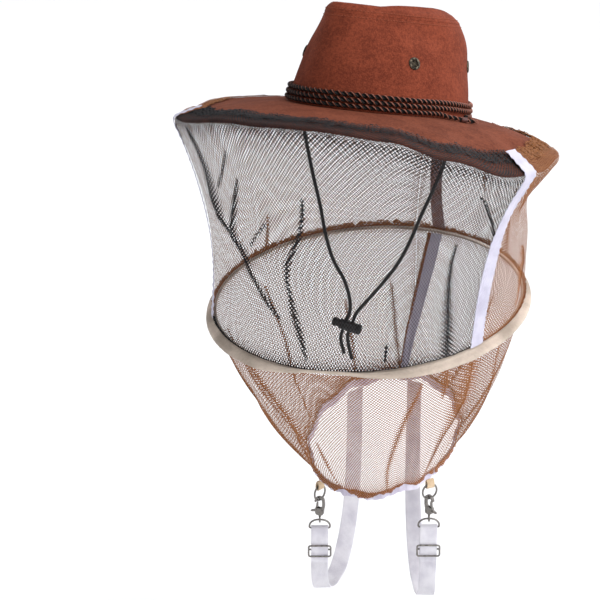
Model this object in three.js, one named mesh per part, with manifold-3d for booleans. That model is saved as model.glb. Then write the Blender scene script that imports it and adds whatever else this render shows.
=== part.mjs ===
// Beekeeper hat: a suede-look brimmed hat with an insect net, a hoop that holds the net off the face,
// an elastic hem and two arm straps. Millimetres, +Z up, -Y is the face side, +X is the wearer's left.
// The origin is the middle of the head opening, where crown and brim meet.
import * as THREE from 'three';
import { mergeVertices } from 'three/addons/utils/BufferGeometryUtils.js';
import Module from 'manifold-3d';

const wasm = await Module();
wasm.setup();

// Driving sizes of the hat; its own frame leans back so that the front of the brim rises
const HAT_TILT = 10;
const GAP = 0.35;
const FELT = 2.2;
const CROWN = { length: 200, width: 162, height: 97, ridgeLength: 158, ridgeWidth: 106, seamDrop: 10 };
const CREASE = { depth: 24, width: 17 };
const PINCH = { angle: 34, spread: 15, depth: 8 };
const BRIM = { radius: 184, offset: 11, offsetAngle: -20, thickness: 2.4, margin: 3, curl: 1.5 };
const CROWN_COLUMNS = 36;

// Droop of the brim's edge below the head opening, by angle from the front towards the wearer's left
const BRIM_DROOP = [
  { angle: -104, drop: 10.5 }, { angle: -86, drop: 14 }, { angle: -72, drop: 22 }, { angle: -55, drop: 27 },
  { angle: -37, drop: 26 }, { angle: -8, drop: 17 }, { angle: 16, drop: 13.5 }, { angle: 35, drop: 16 },
  { angle: 52, drop: 28 }, { angle: 73, drop: 40 }, { angle: 89, drop: 36 }, { angle: 105, drop: 26 },
  { angle: 125, drop: 24 }, { angle: 160, drop: 21.5 }, { angle: 200, drop: 19 }, { angle: 232, drop: 13 },
];

// Net: three panels from the brim to the hoop, three below it, sewn at three seams
const NET = { wall: 1.2, seams: [-47, 73, 193], columns: 20, onBrim: 24, waist: 5, ripple: 2.2, ripples: 9 };
const TWIST = { most: 9, angle: 76, spread: 42 };
const HOOP = { centre: [-6.5, -4.5, -190], slopeX: -0.022, slopeY: 0.178, outer: 162.5, width: 10.5, height: 3.2 };
const HEM = { centre: [8.7, 6.1, -341], slopeX: -0.074, slopeY: 0.475, radius: 76, wall: 3, height: 8 };
const HEM_FRILL = { count: 12, radial: 1.1, rise: 1.4 };
const SKIRT_BULGE = 9;
const TAPE = { wall: 0.8, halfColumns: 0.45, gap: 0.8 };

// Cords of the band and under the chin; each chin cord runs from the brim through the lock to a bare tail
const BAND = { diameter: 4.8, heights: [6.2, 11.6, 17], openFrom: 112, openStep: 12 };
const CORD = { diameter: 3.8, sides: 8, step: 10.5, through: [15, 9, 3, -3, -8] };
const LOCK = {
  centre: [-28, -10, -226], droop: 20, turn: 35, radius: 5.5, bore: 4.3, stem: 4, knob: 4.7,
  barrel: [-7.5, 15.5], stemSpan: [-11.5, 8.7], boreEnd: 12.2, knobSpan: [-15.6, -10.9],
  holeRadius: 2.25, slot: [-7.3, 6.8], slotWidth: 4.5,
};
const CHIN_CORDS = [
  {
    side: 'right', hole: -2,
    above: [[-82, -9, -2.4], [-82, -9.4, -14], [-80.5, -10, -29], [-71, -10, -70], [-61, -10, -105],
      [-54, -10, -135], [-45, -10, -159], [-32, -9.5, -178], [-25.5, -8.4, -198]],
    below: [[-32.8, -13.2, -240], [-29.5, -12, -256]],
  },
  {
    side: 'left', hole: 4.6,
    above: [[82, -9, -2.4], [82, -9.4, -14], [81.3, -10, -37], [71, -10, -65], [56, -9, -97],
      [45, -9, -123], [31, -8, -149], [11, -7, -176], [-5, -6, -195], [-14.8, -4.6, -206]],
    below: [[-26.6, -9.2, -243], [-22, -8.6, -262]],
  },
];

// Eyelets: angle from the front and height on the crown
const EYELET = { radius: 5.6, thickness: 1.4, height: 47, angles: [53.5, 130], clear: 0.1 };

// Arm straps: angles where they hang on the hem, and the way that ring, hook and webbing face in plan
const STRAPS = [
  { side: 'right', front: -25, back: -124, ring: 83, hook: 193, face: 35, backFace: 56, drop: 0 },
  { side: 'left', front: 70.5, back: 187, ring: 60, hook: -10, face: 35, backFace: 0, drop: 3 },
];
const RING = { radius: 8, wire: 1, below: 13.9, seat: 8.4 };
const TAB = { width: 8 };
const HOOK = { wire: 3, cheek: 0.7, lever: 2.2, pivot: [2.9, -2.6], pin: 0.7, play: 0.35, eye: 3.1, eyeDrop: 13.2 };
const STRAP_RING = { half: 11.4, halfHeight: 4.6, corner: 2, wire: 0.95, below: 18.65 };
const SLIDER = { half: 11.4, halfHeight: 6, corner: 2, wire: 0.9, below: 29, ahead: 3.95 };
const STRAP = { width: 17.5, thickness: 1.4, wrap: 2, lap: 42 };

// The free loop of an arm strap: share of the way from front to back, and height
const STRAP_LOOP = [
  { share: 0, z: -478 }, { share: 0.02, z: -493 }, { share: 0.1, z: -505 }, { share: 0.28, z: -511 },
  { share: 0.54, z: -507 }, { share: 0.76, z: -486 }, { share: 0.91, z: -452 }, { share: 0.98, z: -412 },
  { share: 1, z: -362 },
];

const COLOURS = {
  suede: 0x7b3d2c, suedeBrim: 0x8c5545, brass: 0x4a3a28, band: 0x2a1d18, blackNet: 0x17161a, brownNet: 0x7a5a45,
  tape: 0xd9d6e4, casing: 0xb59b88, hem: 0xd6d2de, cord: 0x141414, steel: 0x9a9a9c, webbing: 0xe6e3ea,
  beige: 0xc8b394, plastic: 0x0e0e0f,
};

const rad = THREE.MathUtils.degToRad;
const lerp = THREE.MathUtils.lerp;
const vec = (x, y, z) => new THREE.Vector3(x, y, z);
const range = (n) => [...Array(n).keys()];

// Smooth value of a closed table of angles
function periodic(table, key, angle) {
  const turn = 360;
  const rows = [...table, { ...table[0], angle: table[0].angle + turn }];
  const first = rows[0].angle;
  const at = first + ((((angle - first) % turn) + turn) % turn);
  const next = Math.max(1, rows.findIndex((row) => row.angle > at));
  const low = rows[next - 1];
  const high = rows[next];
  const t = (at - low.angle) / (high.angle - low.angle);
  return lerp(low[key], high[key], t * t * (3 - 2 * t));
}

function ellipse(length, width, angle) {
  return 1 / Math.hypot(Math.sin(rad(angle)) / (width / 2), Math.cos(rad(angle)) / (length / 2));
}

// A point at an angle from the front, a radius and a height
function around(angle, radius, z) {
  return vec(radius * Math.sin(rad(angle)), -radius * Math.cos(rad(angle)), z);
}

function bump(angle, centre, spread) {
  const off = ((((angle - centre + 180) % 360) + 360) % 360) - 180;
  return Math.exp(-((off / spread) ** 2));
}

// Hat frame to the part's frame
const tilt = new THREE.Matrix4().makeRotationX(-rad(HAT_TILT));
const lean = (point) => point.clone().applyMatrix4(tilt);

// Clean closed geometry: vertices merged, empty triangles left out, faces pointing out
function closed(positions, indices) {
  const raw = new THREE.BufferGeometry();
  raw.setAttribute('position', new THREE.Float32BufferAttribute(positions, 3));
  raw.setIndex(indices);
  const merged = mergeVertices(raw, 1e-3);
  const place = merged.getAttribute('position');
  const corner = (i) => vec().fromBufferAttribute(place, i);
  const kept = [];
  let volume = 0;
  for (let i = 0; i < merged.index.count; i += 3) {
    const [a, b, c] = [0, 1, 2].map((k) => merged.index.getX(i + k));
    if (a === b || b === c || c === a) continue;
    kept.push([a, b, c]);
    volume += corner(a).dot(corner(b).cross(corner(c)));
  }
  merged.setIndex(kept.flatMap(([a, b, c]) => (volume > 0 ? [a, b, c] : [a, c, b])));
  merged.computeVertexNormals();
  return merged;
}

// Body through closed sections of equal length; a section's second half runs back along its first
function loft(sections, ring) {
  const n = sections[0].length;
  const positions = sections.flat().flatMap((p) => p.toArray());
  const indices = [];
  const quad = (a, b, c, d) => indices.push(a, b, c, a, c, d);
  const last = ring ? sections.length : sections.length - 1;
  for (let i = 0; i < last; i += 1) {
    const here = i * n;
    const there = ((i + 1) % sections.length) * n;
    for (let j = 0; j < n; j += 1) {
      const k = (j + 1) % n;
      quad(here + j, here + k, there + k, there + j);
    }
  }
  if (!ring) {
    const end = (sections.length - 1) * n;
    for (let j = 0; j < n / 2 - 1; j += 1) {
      quad(j, n - 1 - j, n - 2 - j, j + 1);
      quad(end + j, end + j + 1, end + n - 2 - j, end + n - 1 - j);
    }
  }
  return closed(positions, indices);
}

function cleaned(geometry) {
  const copy = geometry.index ? geometry : mergeVertices(geometry, 1e-4);
  return closed([...copy.getAttribute('position').array], [...copy.index.array]);
}

// Joining and cutting
function solidOf(geometry) {
  const tidy = cleaned(geometry);
  return new wasm.Manifold(new wasm.Mesh({
    numProp: 3,
    vertProperties: new Float32Array(tidy.getAttribute('position').array),
    triVerts: new Uint32Array(tidy.index.array),
  }));
}

function geometryOf(solid) {
  const mesh = solid.getMesh();
  return closed([...mesh.vertProperties], [...mesh.triVerts]);
}

function union(parts) {
  return parts.map(solidOf).reduce((all, one) => all.add(one));
}

function moved(geometry, x, y, z) {
  return geometry.clone().translate(x, y, z);
}

// Crown
function crownRadius(angle, z) {
  const up = THREE.MathUtils.clamp(z / CROWN.height, 0, 1);
  const rear = (1 - Math.cos(rad(angle))) / 2;
  const foot = ellipse(CROWN.length, CROWN.width, angle);
  const ridge = ellipse(CROWN.ridgeLength, CROWN.ridgeWidth + 8 * (rear - 0.5), angle);
  const dent = bump(angle, PINCH.angle, PINCH.spread) + bump(angle, -PINCH.angle, PINCH.spread);
  const side = 2.5 * (bump(angle, 80, 26) + bump(angle, -80, 26));
  const high = Math.exp(-(((up - 0.85) / 0.32) ** 2));
  return lerp(foot, ridge, up ** (1.15 + 0.9 * rear)) - (PINCH.depth * dent + side) * high;
}

function tipPoint(angle, t) {
  const edge = crownRadius(angle, CROWN.height) - 5;
  const p = around(angle, edge * t, 0);
  const along = Math.min(1, Math.abs(p.y) / (CROWN.ridgeLength / 2));
  const crease = Math.exp(-((p.x / CREASE.width) ** 2)) * (1 - along ** 3);
  const dish = 6 * (1 - t * t);
  return p.setZ(CROWN.height - CREASE.depth * crease - dish);
}

const crownAngles = range(CROWN_COLUMNS).map((i) => (i * 360) / CROWN_COLUMNS);

function crownWall(angle, z, inset) {
  return around(angle, crownRadius(angle, z) - inset, z);
}

function crownSide() {
  const top = CROWN.height - CROWN.seamDrop;
  const heights = [0.3, 0.3 * top, 0.66 * top, top];
  return loft(crownAngles.map((angle) => [
    ...heights.map((z) => crownWall(angle, z, 0)),
    ...[...heights].reverse().map((z) => crownWall(angle, z, FELT)),
  ]), true);
}

function crownTip() {
  const low = CROWN.height - CROWN.seamDrop + GAP;
  return loft(crownAngles.map((angle) => {
    const rim = crownRadius(angle, CROWN.height);
    const outer = [
      crownWall(angle, low, 0),
      around(angle, rim - 1.2, CROWN.height - 3.5),
      tipPoint(angle, 1),
      tipPoint(angle, 0.62),
      tipPoint(angle, 0),
    ];
    const inner = [
      tipPoint(angle, 0).setZ(tipPoint(angle, 0).z - FELT),
      tipPoint(angle, 0.62).setZ(tipPoint(angle, 0.62).z - FELT),
      around(angle, rim - 6.4, tipPoint(angle, 1).z - FELT),
      around(angle, rim - 1.2 - FELT, CROWN.height - 5.4),
      crownWall(angle, low, FELT),
    ];
    return [...outer, ...inner];
  }), true);
}

// Brim and the columns that brim and net share
const netAngles = range(3 * NET.columns).map((i) => NET.seams[0] + (i * 120) / NET.columns);
const brimAngle = (angle) => angle + TWIST.most * bump(angle, TWIST.angle, TWIST.spread);

function brimRadius(angle) {
  return BRIM.radius + BRIM.offset * Math.cos(rad(angle - BRIM.offsetAngle));
}

function brimTop(angle, radius) {
  const inner = ellipse(CROWN.length, CROWN.width, angle);
  const t = Math.max(0, (radius - inner) / (brimRadius(angle) - inner));
  return -periodic(BRIM_DROOP, 'drop', angle) * t ** BRIM.curl;
}

function brim() {
  const steps = [0, 0.35, 0.7, 1];
  return loft(netAngles.map(brimAngle).map((angle) => {
    const inner = ellipse(CROWN.length, CROWN.width, angle) - BRIM.margin;
    const outer = brimRadius(angle);
    const top = steps.map((t) => {
      const r = lerp(inner, outer, t);
      return lean(around(angle, r, brimTop(angle, r)));
    });
    const bottom = [...steps].reverse().map((t) => {
      const r = lerp(inner, outer, t);
      return lean(around(angle, r, brimTop(angle, r) - BRIM.thickness));
    });
    return [...top, ...bottom];
  }), true);
}

// Net
function hoopHeight(x, y) {
  return HOOP.centre[2] + HOOP.slopeX * (x - HOOP.centre[0]) + HOOP.slopeY * (y - HOOP.centre[1]);
}

function hoopPoint(angle, radius, above) {
  const p = around(angle, radius, 0).add(vec(HOOP.centre[0], HOOP.centre[1], 0));
  return p.setZ(hoopHeight(p.x, p.y) + above);
}

function hemPoint(angle, out, above) {
  const frill = Math.cos(rad(angle) * HEM_FRILL.count);
  const p = around(angle, HEM.radius + out + HEM_FRILL.radial * frill, 0);
  const z = HEM.centre[2] + HEM.slopeX * p.x + HEM.slopeY * p.y;
  return p.add(vec(HEM.centre[0], HEM.centre[1], 0)).setZ(z + above + HEM_FRILL.rise * frill);
}

const netFoot = HOOP.outer - HOOP.width + 3;
const HANGING = [0.16, 0.38, 0.68, 1];

// Inner line of the net at a column: over the brim's edge, then down to the hoop
function netLine(angle, onBrim, lift) {
  const at = brimAngle(angle);
  const outer = brimRadius(at);
  const start = outer - onBrim;
  const over = lift + GAP;
  const corner = lean(around(at, outer + over, brimTop(at, outer) + over));
  const under = lean(around(at, outer + over, brimTop(at, outer) - BRIM.thickness - 2));
  const rows = [lean(around(at, start, brimTop(at, start) + over)), corner, under];
  const foot = hoopPoint(angle, netFoot + lift, HOOP.height / 2 + GAP + 0.1);
  const polar = (p) => ({ r: Math.hypot(p.x, p.y), a: Math.atan2(p.x, -p.y) });
  const [top, low] = [polar(under), polar(foot)];
  let swing = low.a - top.a;
  if (swing > Math.PI) swing -= 2 * Math.PI;
  if (swing < -Math.PI) swing += 2 * Math.PI;
  HANGING.forEach((v) => {
    const draw = 1 - (1 - v) ** 2.2;
    const free = Math.sin(Math.PI * v);
    const wave = NET.ripple * free * Math.cos(rad(angle) * NET.ripples);
    const r = lerp(top.r, low.r, draw) - NET.waist * free + wave;
    const a = top.a + swing * v;
    rows.push(vec(r * Math.sin(a), -r * Math.cos(a), lerp(under.z, foot.z, v)));
  });
  return rows;
}

function netSection(angle) {
  const inner = netLine(angle, NET.onBrim, 0);
  const outer = netLine(angle, NET.onBrim, NET.wall);
  return [...inner, ...outer.reverse()];
}

// Panel between two seams, with a hair's gap to the next panel
function panelAngles(index, trim) {
  const from = NET.seams[index];
  return range(NET.columns + 1).map((i) => {
    const end = i === 0 ? trim : i === NET.columns ? -trim : 0;
    return from + (i * 120) / NET.columns + end;
  });
}

function netPanel(index) {
  return loft(panelAngles(index, 0.12).map(netSection), false);
}

function skirtLine(angle, lift) {
  const top = hoopPoint(angle, netFoot + lift, -HOOP.height / 2 - GAP - 0.1);
  const low = hemPoint(angle, lift - NET.wall / 2, HEM.height / 2 + GAP + 0.1);
  const centre = (v) => vec(lerp(HOOP.centre[0], HEM.centre[0], v), lerp(HOOP.centre[1], HEM.centre[1], v), 0);
  return [0, 0.36, 0.72, 1].map((v) => {
    const p = top.clone().lerp(low, v);
    const away = p.clone().sub(centre(v)).setZ(0).normalize();
    return p.addScaledVector(away, SKIRT_BULGE * Math.sin(Math.PI * v));
  });
}

function skirtPanel(index) {
  return loft(panelAngles(index, 0.2).map((angle) => [
    ...skirtLine(angle, 0),
    ...skirtLine(angle, NET.wall).reverse(),
  ]), false);
}

// Tape over a seam: it follows the net's outer face half a column to each side
function tapeStrip(angle, line) {
  const step = 120 / NET.columns;
  const across = [-TAPE.halfColumns, 0, TAPE.halfColumns];
  const layer = (lift) => {
    const columns = [-1, 0, 1].map((side) => line(angle + side * step, NET.wall + TAPE.gap + lift));
    return columns[0].map((_, row) => across.map((s) => {
      const side = columns[s < 0 ? 0 : 2][row];
      return columns[1][row].clone().lerp(side, Math.abs(s));
    }));
  };
  const inner = layer(0);
  const outer = layer(TAPE.wall);
  return loft(inner.map((row, i) => [...row, ...[...outer[i]].reverse()]), false);
}

const upperTape = (angle) => tapeStrip(angle, (at, lift) => netLine(at, NET.onBrim, lift));
const lowerTape = (angle) => tapeStrip(angle, (at, lift) => skirtLine(at, lift).slice(0, 4));

function hoop() {
  const half = HOOP.height / 2;
  return loft(netAngles.map((angle) => [
    hoopPoint(angle, HOOP.outer - HOOP.width, half),
    hoopPoint(angle, HOOP.outer, half),
    hoopPoint(angle, HOOP.outer, -half),
    hoopPoint(angle, HOOP.outer - HOOP.width, -half),
  ]), true);
}

function hemElastic() {
  const half = HEM.height / 2;
  return loft(netAngles.map((angle) => [
    hemPoint(angle, -HEM.wall / 2, half),
    hemPoint(angle, HEM.wall / 2, half),
    hemPoint(angle, HEM.wall / 2, -half),
    hemPoint(angle, -HEM.wall / 2, -half),
  ]), true);
}

// Band cords round the foot of the crown
function bandSection(angle, z, radius, sides) {
  const r = crownRadius(angle, z) + GAP + radius;
  return range(sides).map((i) => {
    const turn = (i * 2 * Math.PI) / sides;
    return around(angle, r + radius * Math.cos(turn), z + radius * Math.sin(turn));
  });
}

function bandRing(z) {
  return loft(crownAngles.map((angle) => bandSection(angle, z, BAND.diameter / 2, 5)), true);
}

// The lowest cord is open where its end leaves the band
function bandOpen(z) {
  const step = (360 - BAND.openStep) / CROWN_COLUMNS;
  const first = BAND.openFrom + BAND.openStep;
  const loop = range(CROWN_COLUMNS + 1).map((i) => bandSection(first + i * step, z, BAND.diameter / 2 - 0.3, 6));
  return loft(loop, false);
}

// Chin cord: down from the brim, straight through its hole in the lock, and on to its tail
function chinCord({ above, hole, below }) {
  const r = CORD.diameter / 2;
  const shape = new THREE.Shape(range(CORD.sides).map((i) => {
    const a = (i * 2 * Math.PI) / CORD.sides;
    return new THREE.Vector2(r * Math.cos(a), r * Math.sin(a));
  }));
  const inLock = CORD.through.map((along) => vec(hole, 0, along).applyMatrix4(lockFrame()));
  const points = [...above.map((p) => vec(...p)), ...inLock, ...below.map((p) => vec(...p))];
  const route = new THREE.CatmullRomCurve3(points);
  const steps = Math.round(route.getLength() / CORD.step);
  const tube = { steps, bevelEnabled: false, extrudePath: route };
  return cleaned(new THREE.ExtrudeGeometry(shape, tube));
}

// Ring of round wire along a closed path of equal steps
function wireLoop(points, radius, sides) {
  const n = points.length;
  const middle = points.reduce((sum, p) => sum.add(p), vec(0, 0, 0)).divideScalar(n);
  const normal = points[0].clone().sub(middle).cross(points[1].clone().sub(middle)).normalize();
  return loft(points.map((p, i) => {
    const before = points[(i + n - 1) % n];
    const after = points[(i + 1) % n];
    const tangent = after.clone().sub(before).normalize();
    const out = tangent.clone().cross(normal).normalize();
    return range(sides).map((k) => {
      const a = (k * 2 * Math.PI) / sides;
      return p.clone().addScaledVector(out, radius * Math.cos(a)).addScaledVector(normal, radius * Math.sin(a));
    });
  }), true);
}

// Eyelet: a rolled rim round a sunken mesh disc
function eyelet() {
  const { radius, thickness } = EYELET;
  const profile = [
    [0, 0], [radius, 0], [radius - 0.6, thickness], [radius - 2.2, thickness], [radius - 2.8, thickness * 0.4],
    [0, thickness * 0.4],
  ].map(([x, y]) => new THREE.Vector2(x, y));
  return cleaned(new THREE.LatheGeometry(profile, 10).rotateX(Math.PI / 2));
}

// Cord lock, modelled along X and then turned into place
function lockFrame() {
  const side = vec(Math.cos(rad(LOCK.turn)), Math.sin(rad(LOCK.turn)), 0);
  const axis = side.clone().multiplyScalar(Math.cos(rad(LOCK.droop))).add(vec(0, 0, -Math.sin(rad(LOCK.droop))));
  const hole = side.clone().multiplyScalar(Math.sin(rad(LOCK.droop))).add(vec(0, 0, Math.cos(rad(LOCK.droop))));
  const third = hole.clone().cross(axis);
  return new THREE.Matrix4().makeBasis(axis, third, hole).setPosition(vec(...LOCK.centre));
}

function rod(from, to, radius, sides) {
  const bar = new THREE.CylinderGeometry(radius, radius, to - from, sides);
  return bar.rotateZ(-Math.PI / 2).translate((from + to) / 2, 0, 0);
}

function cordHole(at, length) {
  const drill = new THREE.CylinderGeometry(LOCK.holeRadius, LOCK.holeRadius, length, 10);
  return drill.rotateX(Math.PI / 2).translate(at, 0, 0);
}

function lockBarrel() {
  const [from, to] = LOCK.barrel;
  let body = solidOf(rod(from, to, LOCK.radius, 14));
  body = body.subtract(solidOf(rod(from - 1, LOCK.boreEnd, LOCK.bore, 14)));
  CHIN_CORDS.forEach(({ hole }) => {
    body = body.subtract(solidOf(cordHole(hole, 3 * LOCK.radius)));
  });
  return geometryOf(body);
}

function lockButton() {
  const [stemFrom, stemTo] = LOCK.stemSpan;
  const [knobFrom, knobTo] = LOCK.knobSpan;
  const profile = [
    [0, knobFrom], [2.6, knobFrom], [LOCK.knob, knobFrom + 1.6], [LOCK.knob, knobTo - 0.6], [LOCK.knob - 0.6, knobTo],
    [0, knobTo],
  ].map(([x, y]) => new THREE.Vector2(x, y));
  const knob = new THREE.LatheGeometry(profile, 14).rotateZ(-Math.PI / 2);
  const [slotFrom, slotTo] = LOCK.slot;
  const slot = new THREE.BoxGeometry(slotTo - slotFrom, LOCK.slotWidth, 20).translate((slotFrom + slotTo) / 2, 0, 0);
  const body = union([rod(stemFrom, stemTo, LOCK.stem, 14), knob]).subtract(solidOf(slot));
  return geometryOf(body);
}

// Clasp: a snap hook with a sprung lever and an eye at its foot; drawn in X (lever side) and Z, thickness in Y
function plate(outline, thickness) {
  const shape = new THREE.Shape(outline.map(([x, z]) => new THREE.Vector2(x, z)));
  const slab = new THREE.ExtrudeGeometry(shape, { depth: thickness, bevelEnabled: false, curveSegments: 6 });
  return slab.rotateX(Math.PI / 2).translate(0, thickness / 2, 0);
}

function pinAcross(radius, length, sides) {
  return new THREE.CylinderGeometry(radius, radius, length, sides).translate(HOOK.pivot[0], 0, HOOK.pivot[1]);
}

function claspHook(eyeTurn) {
  const outline = [
    [-3.4, -8], [3.2, -8], [3.2, -5.4], [0.2, -5], [-0.2, -0.4], [-2.6, 0.6], [-3, 5], [-2.5, 8.6], [-0.2, 9.9], [2, 9.2],
    [3.2, 7.2], [3.4, 5.9], [5.3, 5.9], [5.1, 8.4], [3.6, 11], [0, 12.3], [-3.6, 11.2], [-5.2, 8], [-5.5, 2], [-4.6, -3],
  ];
  const cheekOutline = [[-3.2, -8], [3.2, -8], [4.6, -4.6], [4.7, -2.2], [3, -0.6], [-1, -0.6], [-3.6, -3]];
  const cheekAt = HOOK.wire / 2 + HOOK.cheek / 2 - 0.05;
  const neck = new THREE.CylinderGeometry(1.3, 1.3, 3, 10).rotateX(Math.PI / 2).translate(0, 0, -9);
  const eye = new THREE.TorusGeometry(HOOK.eye, 0.95, 6, 12).rotateY(Math.PI / 2).rotateZ(rad(eyeTurn));
  eye.translate(0, 0, -HOOK.eyeDrop);
  return geometryOf(union([
    plate(outline, HOOK.wire),
    moved(plate(cheekOutline, HOOK.cheek), 0, cheekAt, 0),
    moved(plate(cheekOutline, HOOK.cheek), 0, -cheekAt, 0),
    pinAcross(HOOK.pin, HOOK.wire + 2 * HOOK.cheek, 10),
    neck,
    eye,
  ]));
}

function claspLever() {
  const [x, z] = HOOK.pivot;
  const outline = [
    [x - 1.5, z - 1], [x + 0.4, z - 1.9], [x + 3.6, z - 3], [x + 6.4, z - 3.2], [x + 6.8, z - 1.9], [x + 4, z - 0.9],
    [x + 2, z + 0.6], [x + 1.2, z + 3], [x + 0.2, z + 8.2], [x - 1, z + 8.1], [x - 1.3, z + 3],
    [x - 1.7, z + 1],
  ];
  const bore = pinAcross(HOOK.pin + HOOK.play, 10, 10);
  return geometryOf(solidOf(plate(outline, HOOK.lever)).subtract(solidOf(bore)));
}

// Rounded rectangle of wire in the XZ plane
function wireFrame({ half, halfHeight, corner, wire }) {
  const corners = [[1, 1, 0], [-1, 1, 90], [-1, -1, 180], [1, -1, 270]];
  const path = corners.flatMap(([sx, sz, start]) => [0, 30, 60, 90].map((turn) => {
    const a = rad(start + turn);
    return vec(sx * (half - corner) + corner * Math.cos(a), 0, sz * (halfHeight - corner) + corner * Math.sin(a));
  }));
  return wireLoop(path, wire, 5);
}

function hemRing() {
  return cleaned(new THREE.TorusGeometry(RING.radius, RING.wire, 6, 14).rotateX(Math.PI / 2));
}

// Ribbon loop that holds the ring under the hem, drawn across the ring's wire
function hemTab() {
  const half = [[1.2, -0.4], [1.9, -3.2], [2.7, -5], [2.7, -8.7], [1.4, -10.1]];
  const outline = [...half, ...[...half].reverse().map(([x, z]) => [-x, z])];
  const opening = [[0, -4.2], [-1.45, -5.2], [-1.45, -8.2], [0, -9.1], [1.45, -8.2], [1.45, -5.2]];
  const flat = (points) => points.map(([x, z]) => new THREE.Vector2(x, z));
  const shape = new THREE.Shape(flat(outline));
  shape.holes.push(new THREE.Path(flat(opening)));
  const ribbon = new THREE.ExtrudeGeometry(shape, { depth: TAB.width, bevelEnabled: false });
  return cleaned(ribbon.translate(0, 0, -TAB.width / 2).rotateX(Math.PI / 2).rotateZ(Math.PI / 2));
}

function slider() {
  const sides = [-1, 1].map((side) => rod(0, SLIDER.ahead, SLIDER.wire, 8).rotateZ(-Math.PI / 2)
    .translate(side * SLIDER.half, 0, 0));
  const frame = moved(wireFrame(SLIDER), 0, -SLIDER.ahead, 0);
  return geometryOf(union([frame, rod(-SLIDER.half, SLIDER.half, SLIDER.wire, 8), ...sides]));
}

// Webbing: a flat strap along a route, each point with the plan angle of its width; rise slants an end
function webbing(route) {
  return loft(route.map(({ at, face, rise = 0 }, i) => {
    const before = route[Math.max(0, i - 1)].at;
    const after = route[Math.min(route.length - 1, i + 1)].at;
    const tangent = after.clone().sub(before).normalize();
    const side = vec(Math.cos(rad(face)), Math.sin(rad(face)), 0);
    side.addScaledVector(tangent, -side.dot(tangent)).normalize();
    const out = side.clone().cross(tangent).normalize();
    const corner = (s, o) => at.clone()
      .addScaledVector(side, (s * STRAP.width) / 2)
      .addScaledVector(out, (o * STRAP.thickness) / 2)
      .add(vec(0, 0, s * rise));
    return [corner(-1, 1), corner(1, 1), corner(1, -1), corner(-1, -1)];
  }), false);
}

// Where a strap hangs: the foot of the hem, and the levels of the hardware below it
function strapPlace({ front }) {
  const at = hemPoint(front, 0, 0);
  const foot = Math.min(...[-4, -2, 0, 2, 4].map((off) => hemPoint(front + off, 0, -HEM.height / 2).z));
  const ring = foot - RING.below;
  const hook = ring - RING.radius - RING.seat;
  const loop = hook - STRAP_RING.below;
  return { x: at.x, y: at.y, foot, ring, hook, loop };
}

function strapRoute(strap) {
  const place = strapPlace(strap);
  const bar = place.loop - STRAP_RING.halfHeight;
  const ahead = vec(Math.sin(rad(strap.face)), -Math.cos(rad(strap.face)), 0);
  const front = (out, z) => ({ at: vec(place.x, place.y, z).addScaledVector(ahead, out), face: strap.face });
  const lap = [STRAP.lap, 20, 4].map((down) => front(-STRAP.wrap, bar - down));
  const wrap = [0, 45, 90, 135, 180].map((a) => {
    return front(-STRAP.wrap * Math.cos(rad(a)), bar + STRAP.wrap * Math.sin(rad(a)));
  });
  const face = [4, 20, STRAP.lap - 4].map((down) => front(STRAP.wrap, bar - down));
  const back = hemPoint(strap.back, 0, 0);
  const slope = HEM.slopeX * Math.cos(rad(strap.backFace)) + HEM.slopeY * Math.sin(rad(strap.backFace));
  const level = HEM.centre[2] + HEM.slopeX * (back.x - HEM.centre[0]) + HEM.slopeY * (back.y - HEM.centre[1]);
  const end = vec(back.x, back.y, level - HEM.height / 2 - HEM_FRILL.rise - GAP - 0.3);
  const free = STRAP_LOOP.map(({ share, z }) => ({
    at: vec(lerp(place.x, back.x, share), lerp(place.y, back.y, share), z + strap.drop),
    face: lerp(strap.face, strap.backFace, share),
  }));
  const smooth = new THREE.CatmullRomCurve3([face[2], ...free].map(({ at }) => at));
  const curve = range(22).map((i) => {
    const t = (i + 1) / 22;
    return { at: smooth.getPoint(t), face: lerp(strap.face, strap.backFace, t ** 2) };
  });
  const sewn = { at: end, face: strap.backFace, rise: (slope * STRAP.width) / 2 };
  return [...lap, ...wrap, ...face, ...curve, sewn];
}

const hat = new THREE.Group();
const group = new THREE.Group();
hat.rotation.x = -rad(HAT_TILT);
group.add(hat);

function material(color, roughness, metalness = 0) {
  return new THREE.MeshStandardMaterial({ color, roughness, metalness });
}

function add(parent, name, geometry, finish) {
  const mesh = new THREE.Mesh(geometry, finish);
  mesh.name = name;
  parent.add(mesh);
  return mesh;
}

const suede = material(COLOURS.suede, 0.9);
const metal = material(COLOURS.steel, 0.35, 0.9);
add(hat, 'crown_side', crownSide(), suede);
add(hat, 'crown_tip', crownTip(), suede);
add(group, 'brim', brim(), material(COLOURS.suedeBrim, 0.9));

['left', 'right'].forEach((side) => {
  const sign = side === 'left' ? 1 : -1;
  ['front', 'back'].forEach((end, i) => {
    const angle = sign * EYELET.angles[i];
    const at = crownWall(angle, EYELET.height, 0);
    const beside = crownWall(angle + 3, EYELET.height, 0).sub(crownWall(angle - 3, EYELET.height, 0));
    const above = crownWall(angle, EYELET.height + 4, 0).sub(crownWall(angle, EYELET.height - 4, 0));
    const out = beside.cross(above).normalize();
    const mesh = add(hat, `eyelet_${side}_${end}`, eyelet(), material(COLOURS.brass, 0.45, 0.8));
    mesh.position.copy(at).addScaledVector(out, EYELET.clear);
    mesh.quaternion.setFromUnitVectors(vec(0, 0, -1), out.clone().negate());
  });
});

const bandFinish = material(COLOURS.band, 0.5);
add(hat, 'band_cord_top', bandRing(BAND.heights[2]), bandFinish);
add(hat, 'band_cord_middle', bandRing(BAND.heights[1]), bandFinish);
add(hat, 'band_cord_bottom', bandOpen(BAND.heights[0]), bandFinish);

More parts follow.
